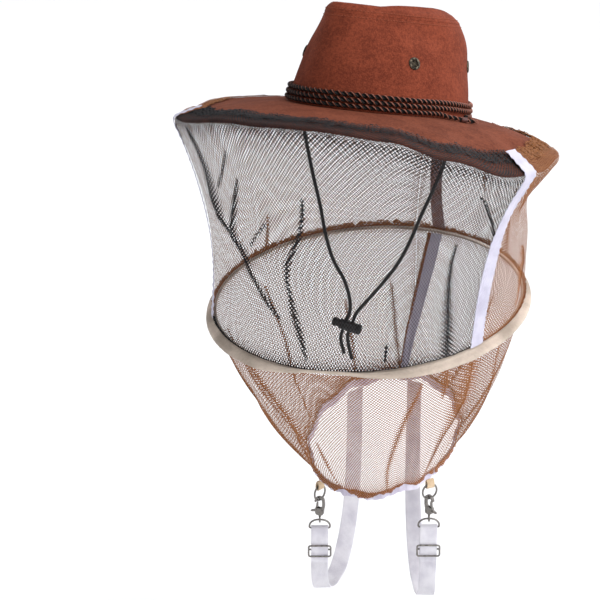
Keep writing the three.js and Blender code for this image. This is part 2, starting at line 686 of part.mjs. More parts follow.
const blackNet = material(COLOURS.blackNet, 0.8);
const brownNet = material(COLOURS.brownNet, 0.8);
const PANELS = [
  { name: 'front', finish: blackNet },
  { name: 'left', finish: brownNet },
  { name: 'right', finish: brownNet },
];
PANELS.forEach(({ name, finish }, i) => {
  add(group, `veil_${name}`, netPanel(i), finish);
  add(group, `skirt_${name}`, skirtPanel(i), brownNet);
});

const tape = material(COLOURS.tape, 0.7);
add(group, 'tape_right', upperTape(NET.seams[0]), tape);
add(group, 'tape_left', upperTape(NET.seams[1]), tape);
add(group, 'tape_back', upperTape(NET.seams[2]), tape);
add(group, 'tape_back_lower', lowerTape(NET.seams[2]), tape);
add(group, 'hoop', hoop(), material(COLOURS.casing, 0.8));
add(group, 'hem_elastic', hemElastic(), material(COLOURS.hem, 0.8));

const cordFinish = material(COLOURS.cord, 0.8);
CHIN_CORDS.forEach((cord) => add(group, `chin_cord_${cord.side}`, chinCord(cord), cordFinish));
const lockFinish = material(COLOURS.plastic, 0.4);
const lock = new THREE.Group();
lock.applyMatrix4(lockFrame());
group.add(lock);
add(lock, 'cord_lock_barrel', lockBarrel(), lockFinish);
add(lock, 'cord_lock_button', lockButton(), lockFinish);

STRAPS.forEach((strap) => {
  const place = strapPlace(strap);
  const place3 = (mesh, z, turn) => {
    mesh.position.set(place.x, place.y, z);
    mesh.rotation.z = rad(turn);
  };
  const named = (name) => `${name}_${strap.side}`;
  place3(add(group, named('hem_tab'), hemTab(), material(COLOURS.beige, 0.8)), place.foot, strap.ring);
  place3(add(group, named('hem_ring'), hemRing(), metal), place.ring, strap.ring);
  place3(add(group, named('clasp_hook'), claspHook(strap.face - strap.hook), metal), place.hook, strap.hook);
  place3(add(group, named('clasp_lever'), claspLever(), metal), place.hook, strap.hook);
  place3(add(group, named('strap_ring'), wireFrame(STRAP_RING), metal), place.loop, strap.face);
  const slide = place.loop - STRAP_RING.halfHeight - SLIDER.below + 4;
  place3(add(group, named('strap_slider'), slider(), metal), slide, strap.face);
  add(group, named('strap'), webbing(strapRoute(strap)), material(COLOURS.webbing, 0.7));
});

export default group;
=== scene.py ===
# %% [markdown]
# # A beekeeper hat with its net
# The hat is a suede-look crown and brim. An insect net hangs from the brim, a flat hoop holds the net off the
# face, and the neck edge is gathered on elastic with two arm straps. We build the looks around a measured
# frame. It gives every body that moves, so the first step is to load it.

import math

import bpy
from mathutils import Matrix, Vector, noise


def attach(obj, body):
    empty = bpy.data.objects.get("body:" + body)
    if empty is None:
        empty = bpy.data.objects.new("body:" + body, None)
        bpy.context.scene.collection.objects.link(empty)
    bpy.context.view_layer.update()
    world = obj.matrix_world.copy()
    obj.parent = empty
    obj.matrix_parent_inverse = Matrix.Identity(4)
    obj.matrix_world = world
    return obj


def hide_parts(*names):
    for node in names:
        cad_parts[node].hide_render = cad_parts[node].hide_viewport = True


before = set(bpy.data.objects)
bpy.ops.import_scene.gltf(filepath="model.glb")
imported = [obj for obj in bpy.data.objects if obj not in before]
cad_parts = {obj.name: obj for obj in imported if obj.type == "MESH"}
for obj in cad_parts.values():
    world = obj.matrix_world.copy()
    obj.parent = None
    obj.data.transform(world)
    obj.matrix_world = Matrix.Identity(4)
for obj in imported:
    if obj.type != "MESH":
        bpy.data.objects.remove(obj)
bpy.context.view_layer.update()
MM = 0.001

# %% [markdown]
# The camera stands in front of the wearer's left cheek, a little above the brim, with a long lens. The real
# hat was photographed from there, and the same view lets us compare the two. Light comes from large soft
# boxes, as in a small product studio, and from a pale room that is brightest at the right behind the hat.

# %% Camera
AZIMUTH = math.radians(35)
PITCH = math.radians(18.6)
EYE = Vector((0.8144, -1.2955, 0.3181))
LOOK = Vector((-math.sin(AZIMUTH) * math.cos(PITCH), math.cos(AZIMUTH) * math.cos(PITCH), -math.sin(PITCH)))
LENS, SENSOR, FAR_CLIP = 96.255, 36, 60


def deselect():
    bpy.ops.object.select_all(action="DESELECT")


deselect()
bpy.ops.object.camera_add(location=EYE, rotation=LOOK.to_track_quat("-Z", "Y").to_euler())
camera = bpy.context.object
camera.data.lens = LENS
camera.data.sensor_width = SENSOR
camera.data.clip_end = FAR_CLIP
bpy.context.scene.camera = camera
print("camera at", [round(value, 2) for value in EYE], "m")

# %% Studio light
SOFTBOXES = [
    ("key", (1.9, 0.1, 1.5), 1.4, 20),
    ("fill", (-1.6, -1.5, 1.1), 1.8, 2),
    ("rim", (-0.3, 1.9, 1.6), 1.6, 9),
]
BRIGHT_SIDE = Vector((0.804, 0.34, 0.488))
ROOM_TINT = (0.97, 0.975, 1, 1)
ROOM_FADE = {"From Min": -0.3, "From Max": 0.9, "To Min": 0.3, "To Max": 1.75}
AIM = Vector((0, 0, -0.15))


def softbox(name, place, size, power):
    bpy.ops.object.light_add(type="AREA", location=place)
    lamp = bpy.context.object
    lamp.name = name
    lamp.data.size = size
    lamp.data.energy = power
    lamp.rotation_euler = (AIM - Vector(place)).to_track_quat("-Z", "Y").to_euler()


for box in SOFTBOXES:
    softbox(*box)
world = bpy.data.worlds.new("room")
bpy.context.scene.world = world
world.use_nodes = True
room, joins = world.node_tree.nodes, world.node_tree.links
background = room["Background"]
background.inputs["Color"].default_value = ROOM_TINT
direction = room.new("ShaderNodeTexCoord")
toward = room.new("ShaderNodeVectorMath")
toward.operation = "DOT_PRODUCT"
toward.inputs[1].default_value = BRIGHT_SIDE
fade = room.new("ShaderNodeMapRange")
fade.interpolation_type = "SMOOTHSTEP"
for name, value in ROOM_FADE.items():
    fade.inputs[name].default_value = value
joins.new(direction.outputs["Generated"], toward.inputs[0])
joins.new(toward.outputs["Value"], fade.inputs["Value"])
joins.new(fade.outputs["Result"], background.inputs["Strength"])
bpy.context.scene.view_settings.view_transform = "Standard"
print("lamps:", len(SOFTBOXES))

# %% [markdown]
# A material is maths on coordinates. Writing that maths as Python expressions keeps it readable: the class
# below wraps one socket, and a sum or product of two wires adds the Math node for it. Everything else, such
# as a noise or a ramp, comes from its one `node` method.

# %% Shader maths


class Wire:
    """One socket of a node tree. Operators on wires add Math nodes."""

    def __init__(self, tree, socket=None):
        self.tree = tree
        self.socket = socket

    def node(self, kind, settings=(), inputs=(), out=0):
        made = self.tree.nodes.new(kind)
        for name, value in dict(settings).items():
            if name == "stops":
                ramp = made.color_ramp
                while len(ramp.elements) < len(value):
                    ramp.elements.new(0.5)
                for element, (position, colour) in zip(ramp.elements, value):
                    element.position = position
                    element.color = colour
            else:
                setattr(made, name, value)
        for name, value in dict(inputs).items():
            if isinstance(value, Wire):
                self.tree.links.new(value.socket, made.inputs[name])
            else:
                made.inputs[name].default_value = value
        return Wire(self.tree, made.outputs[out])

    def calc(self, operation, *others):
        return self.node("ShaderNodeMath", {"operation": operation}, enumerate((self, *others)))

    def __add__(self, other):
        return self.calc("ADD", other)

    __radd__ = __add__

    def __mul__(self, other):
        return self.calc("MULTIPLY", other)

    __rmul__ = __mul__

    def __sub__(self, other):
        return self.calc("SUBTRACT", other)

    def __rsub__(self, other):
        return self * -1 + other


def srgb(red, green, blue):
    def linear(value):
        share = value / 255
        return share / 12.92 if share <= 0.04045 else ((share + 0.055) / 1.055) ** 2.4

    return (linear(red), linear(green), linear(blue), 1)


def blend(wire, share, first, second):
    return wire.node("ShaderNodeMix", {"data_type": "RGBA"}, {0: share, 6: first, 7: second}, 2)


def speckle(wire, scale, detail=2, rough=0.5):
    place = wire.node("ShaderNodeTexCoord", out="Object")
    inputs = {"Vector": place, "Scale": scale, "Detail": detail, "Roughness": rough}
    return wire.node("ShaderNodeTexNoise", {"noise_dimensions": "3D"}, inputs)


def across(wire):
    """The piece's own cloth coordinates in metres: along the cut's width and along its length."""
    place = wire.node("ShaderNodeUVMap", {"uv_map": "UVMap"})
    split = wire.node("ShaderNodeSeparateXYZ", inputs={0: place})
    return split, Wire(wire.tree, split.socket.node.outputs[1])


def ribs(place, pitch, wave="SINE"):
    """Equal ribs along one of the cloth coordinates, their pitch in millimetres."""
    return (place * (2 * math.pi * 1000 / pitch)).calc(wave)


def smooth(wire, low, high):
    settings = {"interpolation_type": "SMOOTHSTEP"}
    return wire.node("ShaderNodeMapRange", settings, {"Value": wire, "From Min": low, "From Max": high})


def finish(name, recipe, **constants):
    """A material: the recipe gives what varies over the surface, the constants are set on the shader."""
    made = bpy.data.materials.new(name)
    made.use_nodes = True
    shader = made.node_tree.nodes["Principled BSDF"]
    start = Wire(made.node_tree)
    varying = recipe(start)
    height = varying.pop("Height", None)
    if height:
        relief = {"Height": height[0], "Distance": height[1], "Strength": 1}
        varying["Normal"] = start.node("ShaderNodeBump", inputs=relief)
    for socket, value in varying.items():
        made.node_tree.links.new(value.socket, shader.inputs[socket])
    for socket, value in constants.items():
        shader.inputs[socket.replace("_", " ")].default_value = value
    return made


# %% [markdown]
# The floor is a plain pale sheet, far enough below the straps that only a faint shadow reaches it. It is part
# of the studio and not of the hat.

# %% Floor
FLOOR_Z = -0.62


def plain_paper(wire):
    tone = speckle(wire, 1.5)
    return {"Base Color": blend(wire, tone, (0.95, 0.95, 0.955, 1), (0.975, 0.975, 0.975, 1))}


deselect()
bpy.ops.mesh.primitive_circle_add(vertices=96, radius=18, fill_type="NGON", location=(0, 0, FLOOR_Z))
floor = bpy.context.object
floor.name = "floor"
floor.data.materials.append(finish("paper", plain_paper, Roughness=0.9))
print("floor at", FLOOR_Z, "m")

# %% [markdown]
# Every cloth or felt surface starts as a flat grid, as cloth starts as a flat cut, and each corner is then
# moved to its place on the hat. The grid's UV map keeps the size of the cut in metres, so threads and ribs
# keep their real width wherever the cloth goes.

# %% Helpers for surfaces


def pick(piece):
    """Select one piece alone, because an operator acts on all that is selected."""
    deselect()
    piece.select_set(True)
    bpy.context.view_layer.objects.active = piece


def added(name):
    """The piece that an operator has just added, under its own name."""
    piece = bpy.context.object
    piece.name = piece.data.name = name
    return piece


def bake_place():
    """Move the new piece's place, turn and size into its mesh."""
    bpy.ops.object.transform_apply(location=True, rotation=True, scale=True)


def settle(piece, material, replaces=(), body="hat", angle=40):
    """Give a finished piece its material, smooth shading and body, and hide the CAD parts that it replaces.
    """
    piece.data.materials.clear()
    piece.data.materials.append(material)
    pick(piece)
    bpy.ops.object.shade_smooth_by_angle(angle=math.radians(angle))
    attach(piece, body)
    if replaces:
        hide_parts(*replaces)


def apply_all(piece):
    pick(piece)
    for modifier in list(piece.modifiers):
        bpy.ops.object.modifier_apply(modifier=modifier.name)


def add_wall(piece, thick, offset):
    """Give a sheet its thickness in millimetres: inwards for an offset of -1, to both sides for 0."""
    wall = piece.modifiers.new("wall", "SOLIDIFY")
    wall.thickness = thick * MM
    wall.offset = offset
    apply_all(piece)


def in_edit(piece, *steps):
    """Run edit mode operators on the whole of a piece."""
    pick(piece)
    bpy.ops.object.mode_set(mode="EDIT")
    bpy.ops.mesh.select_all(action="SELECT")
    for step, options in steps:
        step(**options)
    bpy.ops.object.mode_set(mode="OBJECT")


def face_out(piece, centre=None):
    """Turn a sheet so that its faces look away from the middle of the hat."""
    total = 0
    for face in piece.data.polygons:
        middle = centre or Vector((0, 0, face.center.z))
        total += face.area * face.normal.dot(face.center - middle)
    if total < 0:
        piece.data.flip_normals()


# %% A grid of cloth


def cloth(name, columns, rows, place, cut, thick=0, closed=False, gather=None, centre=None):
    """A grid of cloth: place(u, v) is a corner in millimetres, cut is the flat size in millimetres."""
    deselect()
    bpy.ops.mesh.primitive_grid_add(x_subdivisions=columns, y_subdivisions=rows, size=2)
    piece = added(name)
    mesh = piece.data
    spots = [((v.co.x + 1) / 2, (v.co.y + 1) / 2) for v in mesh.vertices]
    for vertex, (u, v) in zip(mesh.vertices, spots):
        vertex.co = place(u, v) * MM
    if gather:
        dense = mesh.attributes.new("gather", "FLOAT", "POINT")
        dense.data.foreach_set("value", [gather(u, v) for u, v in spots])
    for corner in mesh.uv_layers[0].data:
        corner.uv = (corner.uv.x * cut[0] * MM, corner.uv.y * cut[1] * MM)
    if closed:
        in_edit(piece, (bpy.ops.mesh.remove_doubles, {"threshold": 1e-5}))
    face_out(piece, centre)
    if thick:
        add_wall(piece, thick, -1)
    return piece


# %% Tubes along a line


def tube(name, routes, sides, cut=1):
    """Round tubes along routes of (centre, outward hint, radius) in millimetres; a closed route says so."""
    piece_mesh = bpy.data.meshes.new(name)
    corners, faces, marks = [], [], []
    for route, closed in routes:
        start, count, run = len(corners), len(route), 0.0
        for i, (centre, hint, radius) in enumerate(route):
            back = route[i - 1 if i or closed else 0][0]
            ahead = route[(i + 1) % count if i + 1 < count or closed else i][0]
            tangent = (ahead - back).normalized()
            out = (hint - tangent * hint.dot(tangent)).normalized()
            side = tangent.cross(out)
            run += (centre - route[i - 1][0]).length if i else 0
            for k in range(sides):
                turn = 2 * math.pi * k / sides
                reach = radius(turn, run) if callable(radius) else radius
                corners.append((centre + (out * math.cos(turn) + side * math.sin(turn)) * reach) * MM)
                marks.append((k / sides * cut * MM, run * MM))
        for i in range(count if closed else count - 1):
            here, there = start + i * sides, start + (i + 1) % count * sides
            for k in range(sides):
                n = (k + 1) % sides
                faces.append((here + k, here + n, there + n, there + k))
        if not closed:
            last = start + (count - 1) * sides
            faces.append(tuple(start + k for k in reversed(range(sides))))
            faces.append(tuple(last + k for k in range(sides)))
    piece_mesh.from_pydata(corners, [], faces)
    piece_mesh.update()
    layer = piece_mesh.uv_layers.new(name="UVMap")
    for loop in piece_mesh.loops:
        layer.data[loop.index].uv = marks[loop.vertex_index]
    piece = bpy.data.objects.new(name, piece_mesh)
    bpy.context.scene.collection.objects.link(piece)
    return piece


# %% Smooth and even lines


def curve_through(points, per_span):
    """A smooth centripetal line through points, with its own points close together."""
    line = []
    ends = [points[0] * 2 - points[1], *points, points[-1] * 2 - points[-2]]
    for i in range(1, len(ends) - 2):
        a, b, c, d = ends[i - 1 : i + 3]
        t1 = (b - a).length ** 0.5
        t2 = t1 + (c - b).length ** 0.5
        t3 = t2 + (d - c).length ** 0.5
        for k in range(per_span):
            t = t1 + (t2 - t1) * k / per_span
            ab = a * ((t1 - t) / t1) + b * (t / t1)
            bc = b * ((t2 - t) / (t2 - t1)) + c * ((t - t1) / (t2 - t1))
            cd = c * ((t3 - t) / (t3 - t2)) + d * ((t - t2) / (t3 - t2))
            abc = ab * ((t2 - t) / t2) + bc * (t / t2)
            bcd = bc * ((t3 - t) / (t3 - t1)) + cd * ((t - t1) / (t3 - t1))
            line.append(abc * ((t2 - t) / (t2 - t1)) + bcd * ((t - t1) / (t2 - t1)))
    return [*line, points[-1].copy()]


def even_line(points, step):
    """The same line with points an equal step apart."""
    line, left = [points[0].copy()], step
    for a, b in zip(points, points[1:]):
        span = (b - a).length
        at = left
        while at <= span:
            line.append(a.lerp(b, at / span))
            at += step
        left = at - span
    if (points[-1] - line[-1]).length > step * 0.3:
        line.append(points[-1].copy())
    return line


def length_of(points):
    return sum((b - a).length for a, b in zip(points, points[1:]))


# %% [markdown]
# ## The chin cord
# Two ends of one braided cord hang from the brim and meet in a spring lock. A braid of thin yarns is not a
# smooth tube: its carriers cross and leave small diamonds. We make a tube along the cord's route, and let the
# radius rise and fall with two crossing waves. The route runs straight through the lock's two holes.

# %% Route of the chin cords
LOCK_CENTRE = Vector((-28, -10, -226))
LOCK_DROOP = math.radians(20)
LOCK_TURN = math.radians(35)
LOCK_SIDE = Vector((math.cos(LOCK_TURN), math.sin(LOCK_TURN), 0))
LOCK_AXIS = LOCK_SIDE * math.cos(LOCK_DROOP) - Vector((0, 0, math.sin(LOCK_DROOP)))
LOCK_HOLE = LOCK_SIDE * math.sin(LOCK_DROOP) + Vector((0, 0, math.cos(LOCK_DROOP)))
LOCK_FRAME = Matrix((LOCK_AXIS, LOCK_HOLE.cross(LOCK_AXIS), LOCK_HOLE)).transposed()
CORD_WIDTH = 3.8
CORD_THROUGH = (15, 9, 3, -3, -8)
CHIN_CORDS = {
    "right": (-2, [(-82, -9, -2.4), (-82, -9.4, -14), (-80.5, -10, -29), (-71, -10, -70), (-61, -10, -105),
                   (-54, -10, -135), (-45, -10, -159), (-32, -9.5, -178), (-25.5, -8.4, -198)],
              [(-32.8, -13.2, -240), (-29.5, -12, -256)]),
    "left": (4.6, [(82, -9, -2.4), (82, -9.4, -14), (81.3, -10, -37), (71, -10, -65), (56, -9, -97),
                   (45, -9, -123), (31, -8, -149), (11, -7, -176), (-5, -6, -195), (-14.8, -4.6, -206)],
             [(-26.6, -9.2, -243), (-22, -8.6, -262)]),
}


def in_lock(x, y, z):
    return LOCK_CENTRE + LOCK_FRAME @ Vector((x, y, z))


def cord_line(hole, above, below):
    inside = [in_lock(hole, 0, along) for along in CORD_THROUGH]
    return curve_through([*map(Vector, above), *inside, *map(Vector, below)], per_span=12)


# %% Braided black yarn
BRAID_CARRIERS = 4
BRAID_PITCH = 5.2


def braided_yarn(wire):
    u, v = across(wire)
    turn = u * (2 * math.pi * BRAID_CARRIERS * 1000 / CORD_WIDTH)
    climb = v * (2 * math.pi * 1000 / BRAID_PITCH * 2)
    cross = (turn + climb).calc("SINE") * (turn - climb).calc("SINE")
    fibre = speckle(wire, 2600, 2)
    tone = smooth(cross * 0.5 + fibre * 0.5, -0.2, 0.75)
    colour = blend(wire, tone, srgb(13, 12, 12), srgb(44, 42, 42))
    return {"Base Color": colour, "Height": (cross * 0.3 + fibre * 0.5, 0.0003)}


BRAID = finish("braided_cord", braided_yarn, Roughness=0.75, Sheen_Weight=0.2)


def braid_radius(turn, run):
    climb = 2 * math.pi * run / BRAID_PITCH
    weave = math.cos(BRAID_CARRIERS * turn + 2 * climb) * math.cos(BRAID_CARRIERS * turn - 2 * climb)
    return CORD_WIDTH / 2 * (0.95 + 0.07 * weave)


chin_cords = {}
for side, (hole, above, below) in CHIN_CORDS.items():
    line = even_line(cord_line(hole, above, below), step=0.8)
    length = length_of(line)
    ahead = Vector((0, -1, 0))
    route = [(point, ahead, braid_radius) for point in line]
    cord = tube(f"chin_cord_{side}_braid", [(route, False)], sides=20, cut=CORD_WIDTH)
    settle(cord, BRAID, [f"chin_cord_{side}"], angle=60)
    chin_cords[side] = (cord, line, length)
    print("chin cord", side, round(length, 1), "mm")

# %% [markdown]
# ## The cord lock
# A spring lock is a moulded barrel with two holes across it and a round button at one end. We spin the
# profile of each one about its axis, grip grooves and all, cut the holes and the button's slot with Boolean
# modifiers, and bevel the sharp edges of the barrel.

# %% Black plastic


def moulded_black(wire):
    grain = speckle(wire, 1800, 2)
    colour = blend(wire, grain, srgb(17, 17, 18), srgb(34, 34, 36))
    rough = smooth(speckle(wire, 160, 3), 0.3, 0.7) * 0.2 + 0.36
    return {"Base Color": colour, "Roughness": rough, "Height": (grain, 0.0001)}


PLASTIC = finish("black_plastic", moulded_black)

# %% Turned and drilled solids


def profile_spin(name, profile, steps=48):
    """Spin a profile of (radius, height) in millimetres about Z into a closed solid."""
    deselect()
    bpy.ops.mesh.primitive_circle_add(vertices=len(profile), fill_type="NOTHING")
    piece = added(name)
    for vertex, (radius, height) in zip(piece.data.vertices, profile):
        vertex.co = Vector((radius, 0, height)) * MM
    spin = {"steps": steps, "angle": 2 * math.pi, "center": (0, 0, 0), "axis": (0, 0, 1)}
    merge = {"threshold": 2e-5}
    in_edit(
        piece,
        (bpy.ops.mesh.spin, spin),
        (bpy.ops.mesh.select_all, {"action": "SELECT"}),
        (bpy.ops.mesh.remove_doubles, merge),
        (bpy.ops.mesh.normals_make_consistent, {"inside": False}),
    )
    return piece


def bevelled(piece, width, segments=3, angle=35):
    edge = piece.modifiers.new("edge", "BEVEL")
    edge.width = width * MM
    edge.segments = segments
    edge.limit_method = "ANGLE"
    edge.angle_limit = math.radians(angle)
    apply_all(piece)


def cut_away(piece, tool):
    cut = piece.modifiers.new("cut", "BOOLEAN")
    cut.operation = "DIFFERENCE"
    cut.solver = "EXACT"
    cut.object = tool
    apply_all(piece)
    bpy.data.objects.remove(tool)


def place_by(piece, matrix, offset):
    """Put a piece modelled in metres at a frame whose offset is in millimetres."""
    piece.data.transform(Matrix.Translation(offset * MM) @ matrix.to_4x4())


def cylinder(radius, depth, at=(0, 0, 0), turn=(0, 0, 0), sides=32):
    deselect()
    bpy.ops.mesh.primitive_cylinder_add(vertices=sides, radius=radius * MM, depth=depth * MM,
                                        location=Vector(at) * MM, rotation=turn)
    bake_place()
    return bpy.context.object


# %% Barrel and button
TO_X = Matrix.Rotation(math.radians(90), 4, "Y")
BARREL = [(4.3, -7.5), (5, -7.5), (5.5, -7), (5.5, -5.6), (5.15, -5.3), (5.15, -4.7), (5.5, -4.4),
          (5.5, 7.8), (5.15, 8.1), (5.15, 8.9), (5.5, 9.2), (5.5, 10), (5.15, 10.3), (5.15, 11.1),
          (5.5, 11.4), (5.5, 13.6), (5.2, 14.7), (4.4, 15.4), (2.6, 15.5), (0, 15.5), (0, 12.2),
          (4.3, 12.2)]
BUTTON = [(0, -15.6), (1.8, -15.6), (3, -15.2), (4, -14.4), (4.6, -13.2), (4.7, -12.2), (4.5, -11.4),
          (4, -10.9), (4, 8.7), (0, 8.7)]
BARREL_HOLE = 2.25
BUTTON_SLOT, BUTTON_SLOT_AT = (14.1, 4.5, 20), (-0.25, 0, 0)

barrel = profile_spin("cord_lock_barrel_shell", BARREL)
barrel.data.transform(TO_X)
for hole, _, _ in CHIN_CORDS.values():
    cut_away(barrel, cylinder(BARREL_HOLE, 16, (hole, 0, 0)))
bevelled(barrel, 0.25, segments=2, angle=50)
place_by(barrel, LOCK_FRAME, LOCK_CENTRE)
settle(barrel, PLASTIC, ["cord_lock_barrel"], angle=35)

button = profile_spin("cord_lock_button_knob", BUTTON)
button.data.transform(TO_X)
deselect()
bpy.ops.mesh.primitive_cube_add(size=1, location=Vector(BUTTON_SLOT_AT) * MM)
slot_tool = bpy.context.object
slot_tool.dimensions = Vector(BUTTON_SLOT) * MM
bake_place()
cut_away(button, slot_tool)
place_by(button, LOCK_FRAME, LOCK_CENTRE)
settle(button, PLASTIC, ["cord_lock_button"], body="lock_button", angle=35)
print("cord lock:", len(barrel.data.polygons), "and", len(button.data.polygons), "faces")

for side, (cord, line, length) in chin_cords.items():
    path = [tuple(point * MM) for point in line[::3]] + [tuple(line[-1] * MM)]
    length * MM
    [barrel, button] if side == "right" else []

# %% [markdown]
# ## The crown
# The crown is a soft cone with a long crease in its top and a pinch at each side of the front. One function
# gives its outline at any angle and height. The top panel laps over the wall, so there is a low step with two
# rows of stitches, and the nap of the suede is a fine noise in colour, roughness and bump.

# %% Shape of the hat
TILT = Matrix.Rotation(-math.radians(10), 3, "X")
CROWN_HEIGHT = 97
SEAM_HEIGHT = 87
FOOT_LENGTH, FOOT_WIDTH = 200, 162
RIDGE_LENGTH, RIDGE_WIDTH = 158, 106
FRONT_FLATS, FRONT_PINCH, BACK_SWELL = 4.2, 4.6, 4.2
CREASE_DEPTH, CREASE_HALF = 24, 17
FELT = 2.2


def mix(a, b, t):
    return a + (b - a) * t


def around(angle, radius, z=0.0):
    turn = math.radians(angle)
    return Vector((radius * math.sin(turn), -radius * math.cos(turn), z))


def bump(angle, centre, spread):
    off = (angle - centre + 180) % 360 - 180
    return math.exp(-((off / spread) ** 2))


def bumps(angle, rows):
    """Several bumps of (size, centre, spread) added up."""
    return sum(size * bump(angle, centre, spread) for size, centre, spread in rows)


def ellipse(length, width, angle):
    turn = math.radians(angle)
    return 1 / math.hypot(math.sin(turn) / (width / 2), math.cos(turn) / (length / 2))


# %% Outline of the crown


def shoulder(angle):
    """How round the crown's upper edge is: full at the back and its two corners."""
    return min(1, bumps(angle, [(1, 128, 44), (1, -128, 44), (0.6, 180, 40)]))


def crown_foot(angle):
    return ellipse(FOOT_LENGTH, FOOT_WIDTH, angle)


def crown_radius(angle, z):
    up = min(1, max(0, z / CROWN_HEIGHT))
    rear = (1 - math.cos(math.radians(angle))) / 2
    ridge = ellipse(RIDGE_LENGTH, RIDGE_WIDTH + 8 * (rear - 0.5), angle)
    flats = FRONT_FLATS * (bump(angle, 28, 15) + bump(angle, -28, 15)) * up**0.7
    pinch = FRONT_PINCH * (bump(angle, 62, 22) + bump(angle, -62, 22)) * math.exp(-(((up - 0.8) / 0.17) ** 2))
    swell = BACK_SWELL * shoulder(angle) * math.exp(-(((up - 0.72) / 0.21) ** 2))
    return mix(crown_foot(angle), ridge, up ** (1.15 + 0.9 * rear)) - flats - pinch + swell


# %% Crease in the top


def tip_point(angle, t):
    edge = crown_radius(angle, CROWN_HEIGHT) - 5.5 - 5.5 * shoulder(angle)
    p = around(angle, edge * t)
    along = min(1, abs(p.y) / (RIDGE_LENGTH / 2))
    crease = math.exp(-((p.x / CREASE_HALF) ** 2)) * (1 - along**3)
    dome = (2.1 + 1.3 * min(1, max(-1, p.x / 20))) * (1 - along**2)
    p.z = CROWN_HEIGHT + dome - (CREASE_DEPTH + dome) * crease - 5 * (1 - t * t) - 1.6 * t**6
    return p


# %% Slow waves and smooth lines


def soft(angle, z, size, seed):
    """A slow wave over a surface, so that felt and cloth aren't machine-smooth."""
    return size * noise.noise(around(angle, 2.2, z / 28 + seed))


def spline_point(a, b, c, d, s):
    """A smooth line's point between b and c, for s from 0 to 1; a comes before b, and d after c."""
    return 0.5 * ((2 * b) + (c - a) * s + (2 * a - 5 * b + 4 * c - d) * s**2 + (3 * b - a - 3 * c + d) * s**3)


def along_points(points, t):
    """A smooth line through a few points, t from 0 to 1."""
    span = t * (len(points) - 1)
    i = min(len(points) - 2, int(span))
    near = (points[min(len(points) - 1, max(0, i + k))] for k in (-1, 0, 1, 2))
    return spline_point(*near, span - i)


# %% Wall and top panel


def crown_wall(angle, z, lift=0.0):
    return around(angle, crown_radius(angle, z) + soft(angle, z, 0.7, 3) + lift, z)


def foot_dip(angle):
    """The foot of the crown lies a little lower behind the wearer's left ear."""
    return 4 * bump(angle, 125, 38)


def side_spot(u, v):
    angle = 360 * u
    z = mix(0.4 - foot_dip(angle), SEAM_HEIGHT, v)
    return TILT @ crown_wall(angle, z)


def tip_profile(angle):
    """The top panel's section from its lap over the wall to the middle of the crown."""
    rim = crown_radius(angle, CROWN_HEIGHT)
    low, back = SEAM_HEIGHT - 0.6, shoulder(angle)
    return [
        crown_wall(angle, low, 0.3),
        crown_wall(angle, low + 1.6, 0.35),
        around(angle, rim + 1.8 + 0.8 * back, 90.6),
        around(angle, rim - 0.4 - 0.2 * back, 93.2),
        around(angle, rim - 2.6 - 1.6 * back, 95),
        *(tip_point(angle, t) for t in (1, 0.86, 0.7, 0.5, 0.3, 0.12, 0)),
    ]


def tip_spot(u, v):
    angle = 360 * u
    p = along_points(tip_profile(angle), v)
    p.z += soft(angle, p.x, 0.6 * (1 - v), 9)
    return TILT @ p


# %% Suede


def suede(dark, light):
    def recipe(wire):
        nap = speckle(wire, 760, 3, 0.7)
        cloud = speckle(wire, 42, 3, 0.5)
        brushed = speckle(wire, 300, 3, 0.6)
        tone = smooth(nap * 0.45 + cloud * 0.25 + brushed * 0.3, 0.38, 0.62)
        return {
            "Base Color": blend(wire, tone, dark, light),
            "Roughness": 0.98 - cloud * 0.2,
            "Height": (nap * 0.7 + brushed * 0.5, 0.00035),
        }

    return recipe


SUEDE = finish("suede", suede(srgb(96, 42, 28), srgb(134, 64, 43)),
               Specular_IOR_Level=0.12, Sheen_Weight=0.04, Sheen_Tint=srgb(205, 140, 110))
SUEDE_BRIM = finish("suede_brim", suede(srgb(88, 43, 30), srgb(124, 66, 46)),
                    Specular_IOR_Level=0.12, Sheen_Weight=0.05, Sheen_Tint=srgb(215, 150, 120))

# %% Crown wall and top
crown_side = cloth("crown_side_felt", 180, 36, side_spot, (580, 92), FELT, closed=True)
settle(crown_side, SUEDE, ["crown_side"])
crown_tip = cloth("crown_tip_felt", 180, 48, tip_spot, (480, 90), FELT, closed=True,
                  centre=Vector((0, 0, 0.05)))
settle(crown_tip, SUEDE, ["crown_tip"])
print("crown:", len(crown_side.data.polygons), "and", len(crown_tip.data.polygons), "faces")

# %% [markdown]
# ## Stitches
# A stitch is a short thread that dips into the felt at both ends. Each one could be a curve with a bevel, but
# hundreds of curves are slow. A low arch with five sides is enough at this size. One is made for each step of
# a seam line, and a whole row is one mesh.

# %% Stitch rows
STITCH_RADIUS = 0.33
STITCH_ARCH = [(-0.5, -0.25), (-0.3, 0.22), (0, 0.34), (0.3, 0.22), (0.5, -0.25)]


def thread(dark, light):
    def recipe(wire):
        twist = speckle(wire, 2400, 2)
        return {"Base Color": blend(wire, twist, dark, light), "Height": (twist, 0.0001)}

    return recipe


THREAD = finish("brown_thread", thread(srgb(92, 40, 27), srgb(168, 92, 66)), Roughness=0.8,
                Specular_IOR_Level=0.15)


def stitches(name, spots, length):
    """spots: (centre, direction, outward) in millimetres; each stitch is a low arch of thread."""
    routes = []
    for centre, direction, out in spots:
        arch = [(centre + direction * (length * s) + out * h, out, STITCH_RADIUS) for s, h in STITCH_ARCH]
        routes.append((arch, False))
    settle(tube(name, routes, sides=5), THREAD, angle=80)
    print(name, len(routes))


# %% Seam lines on the crown


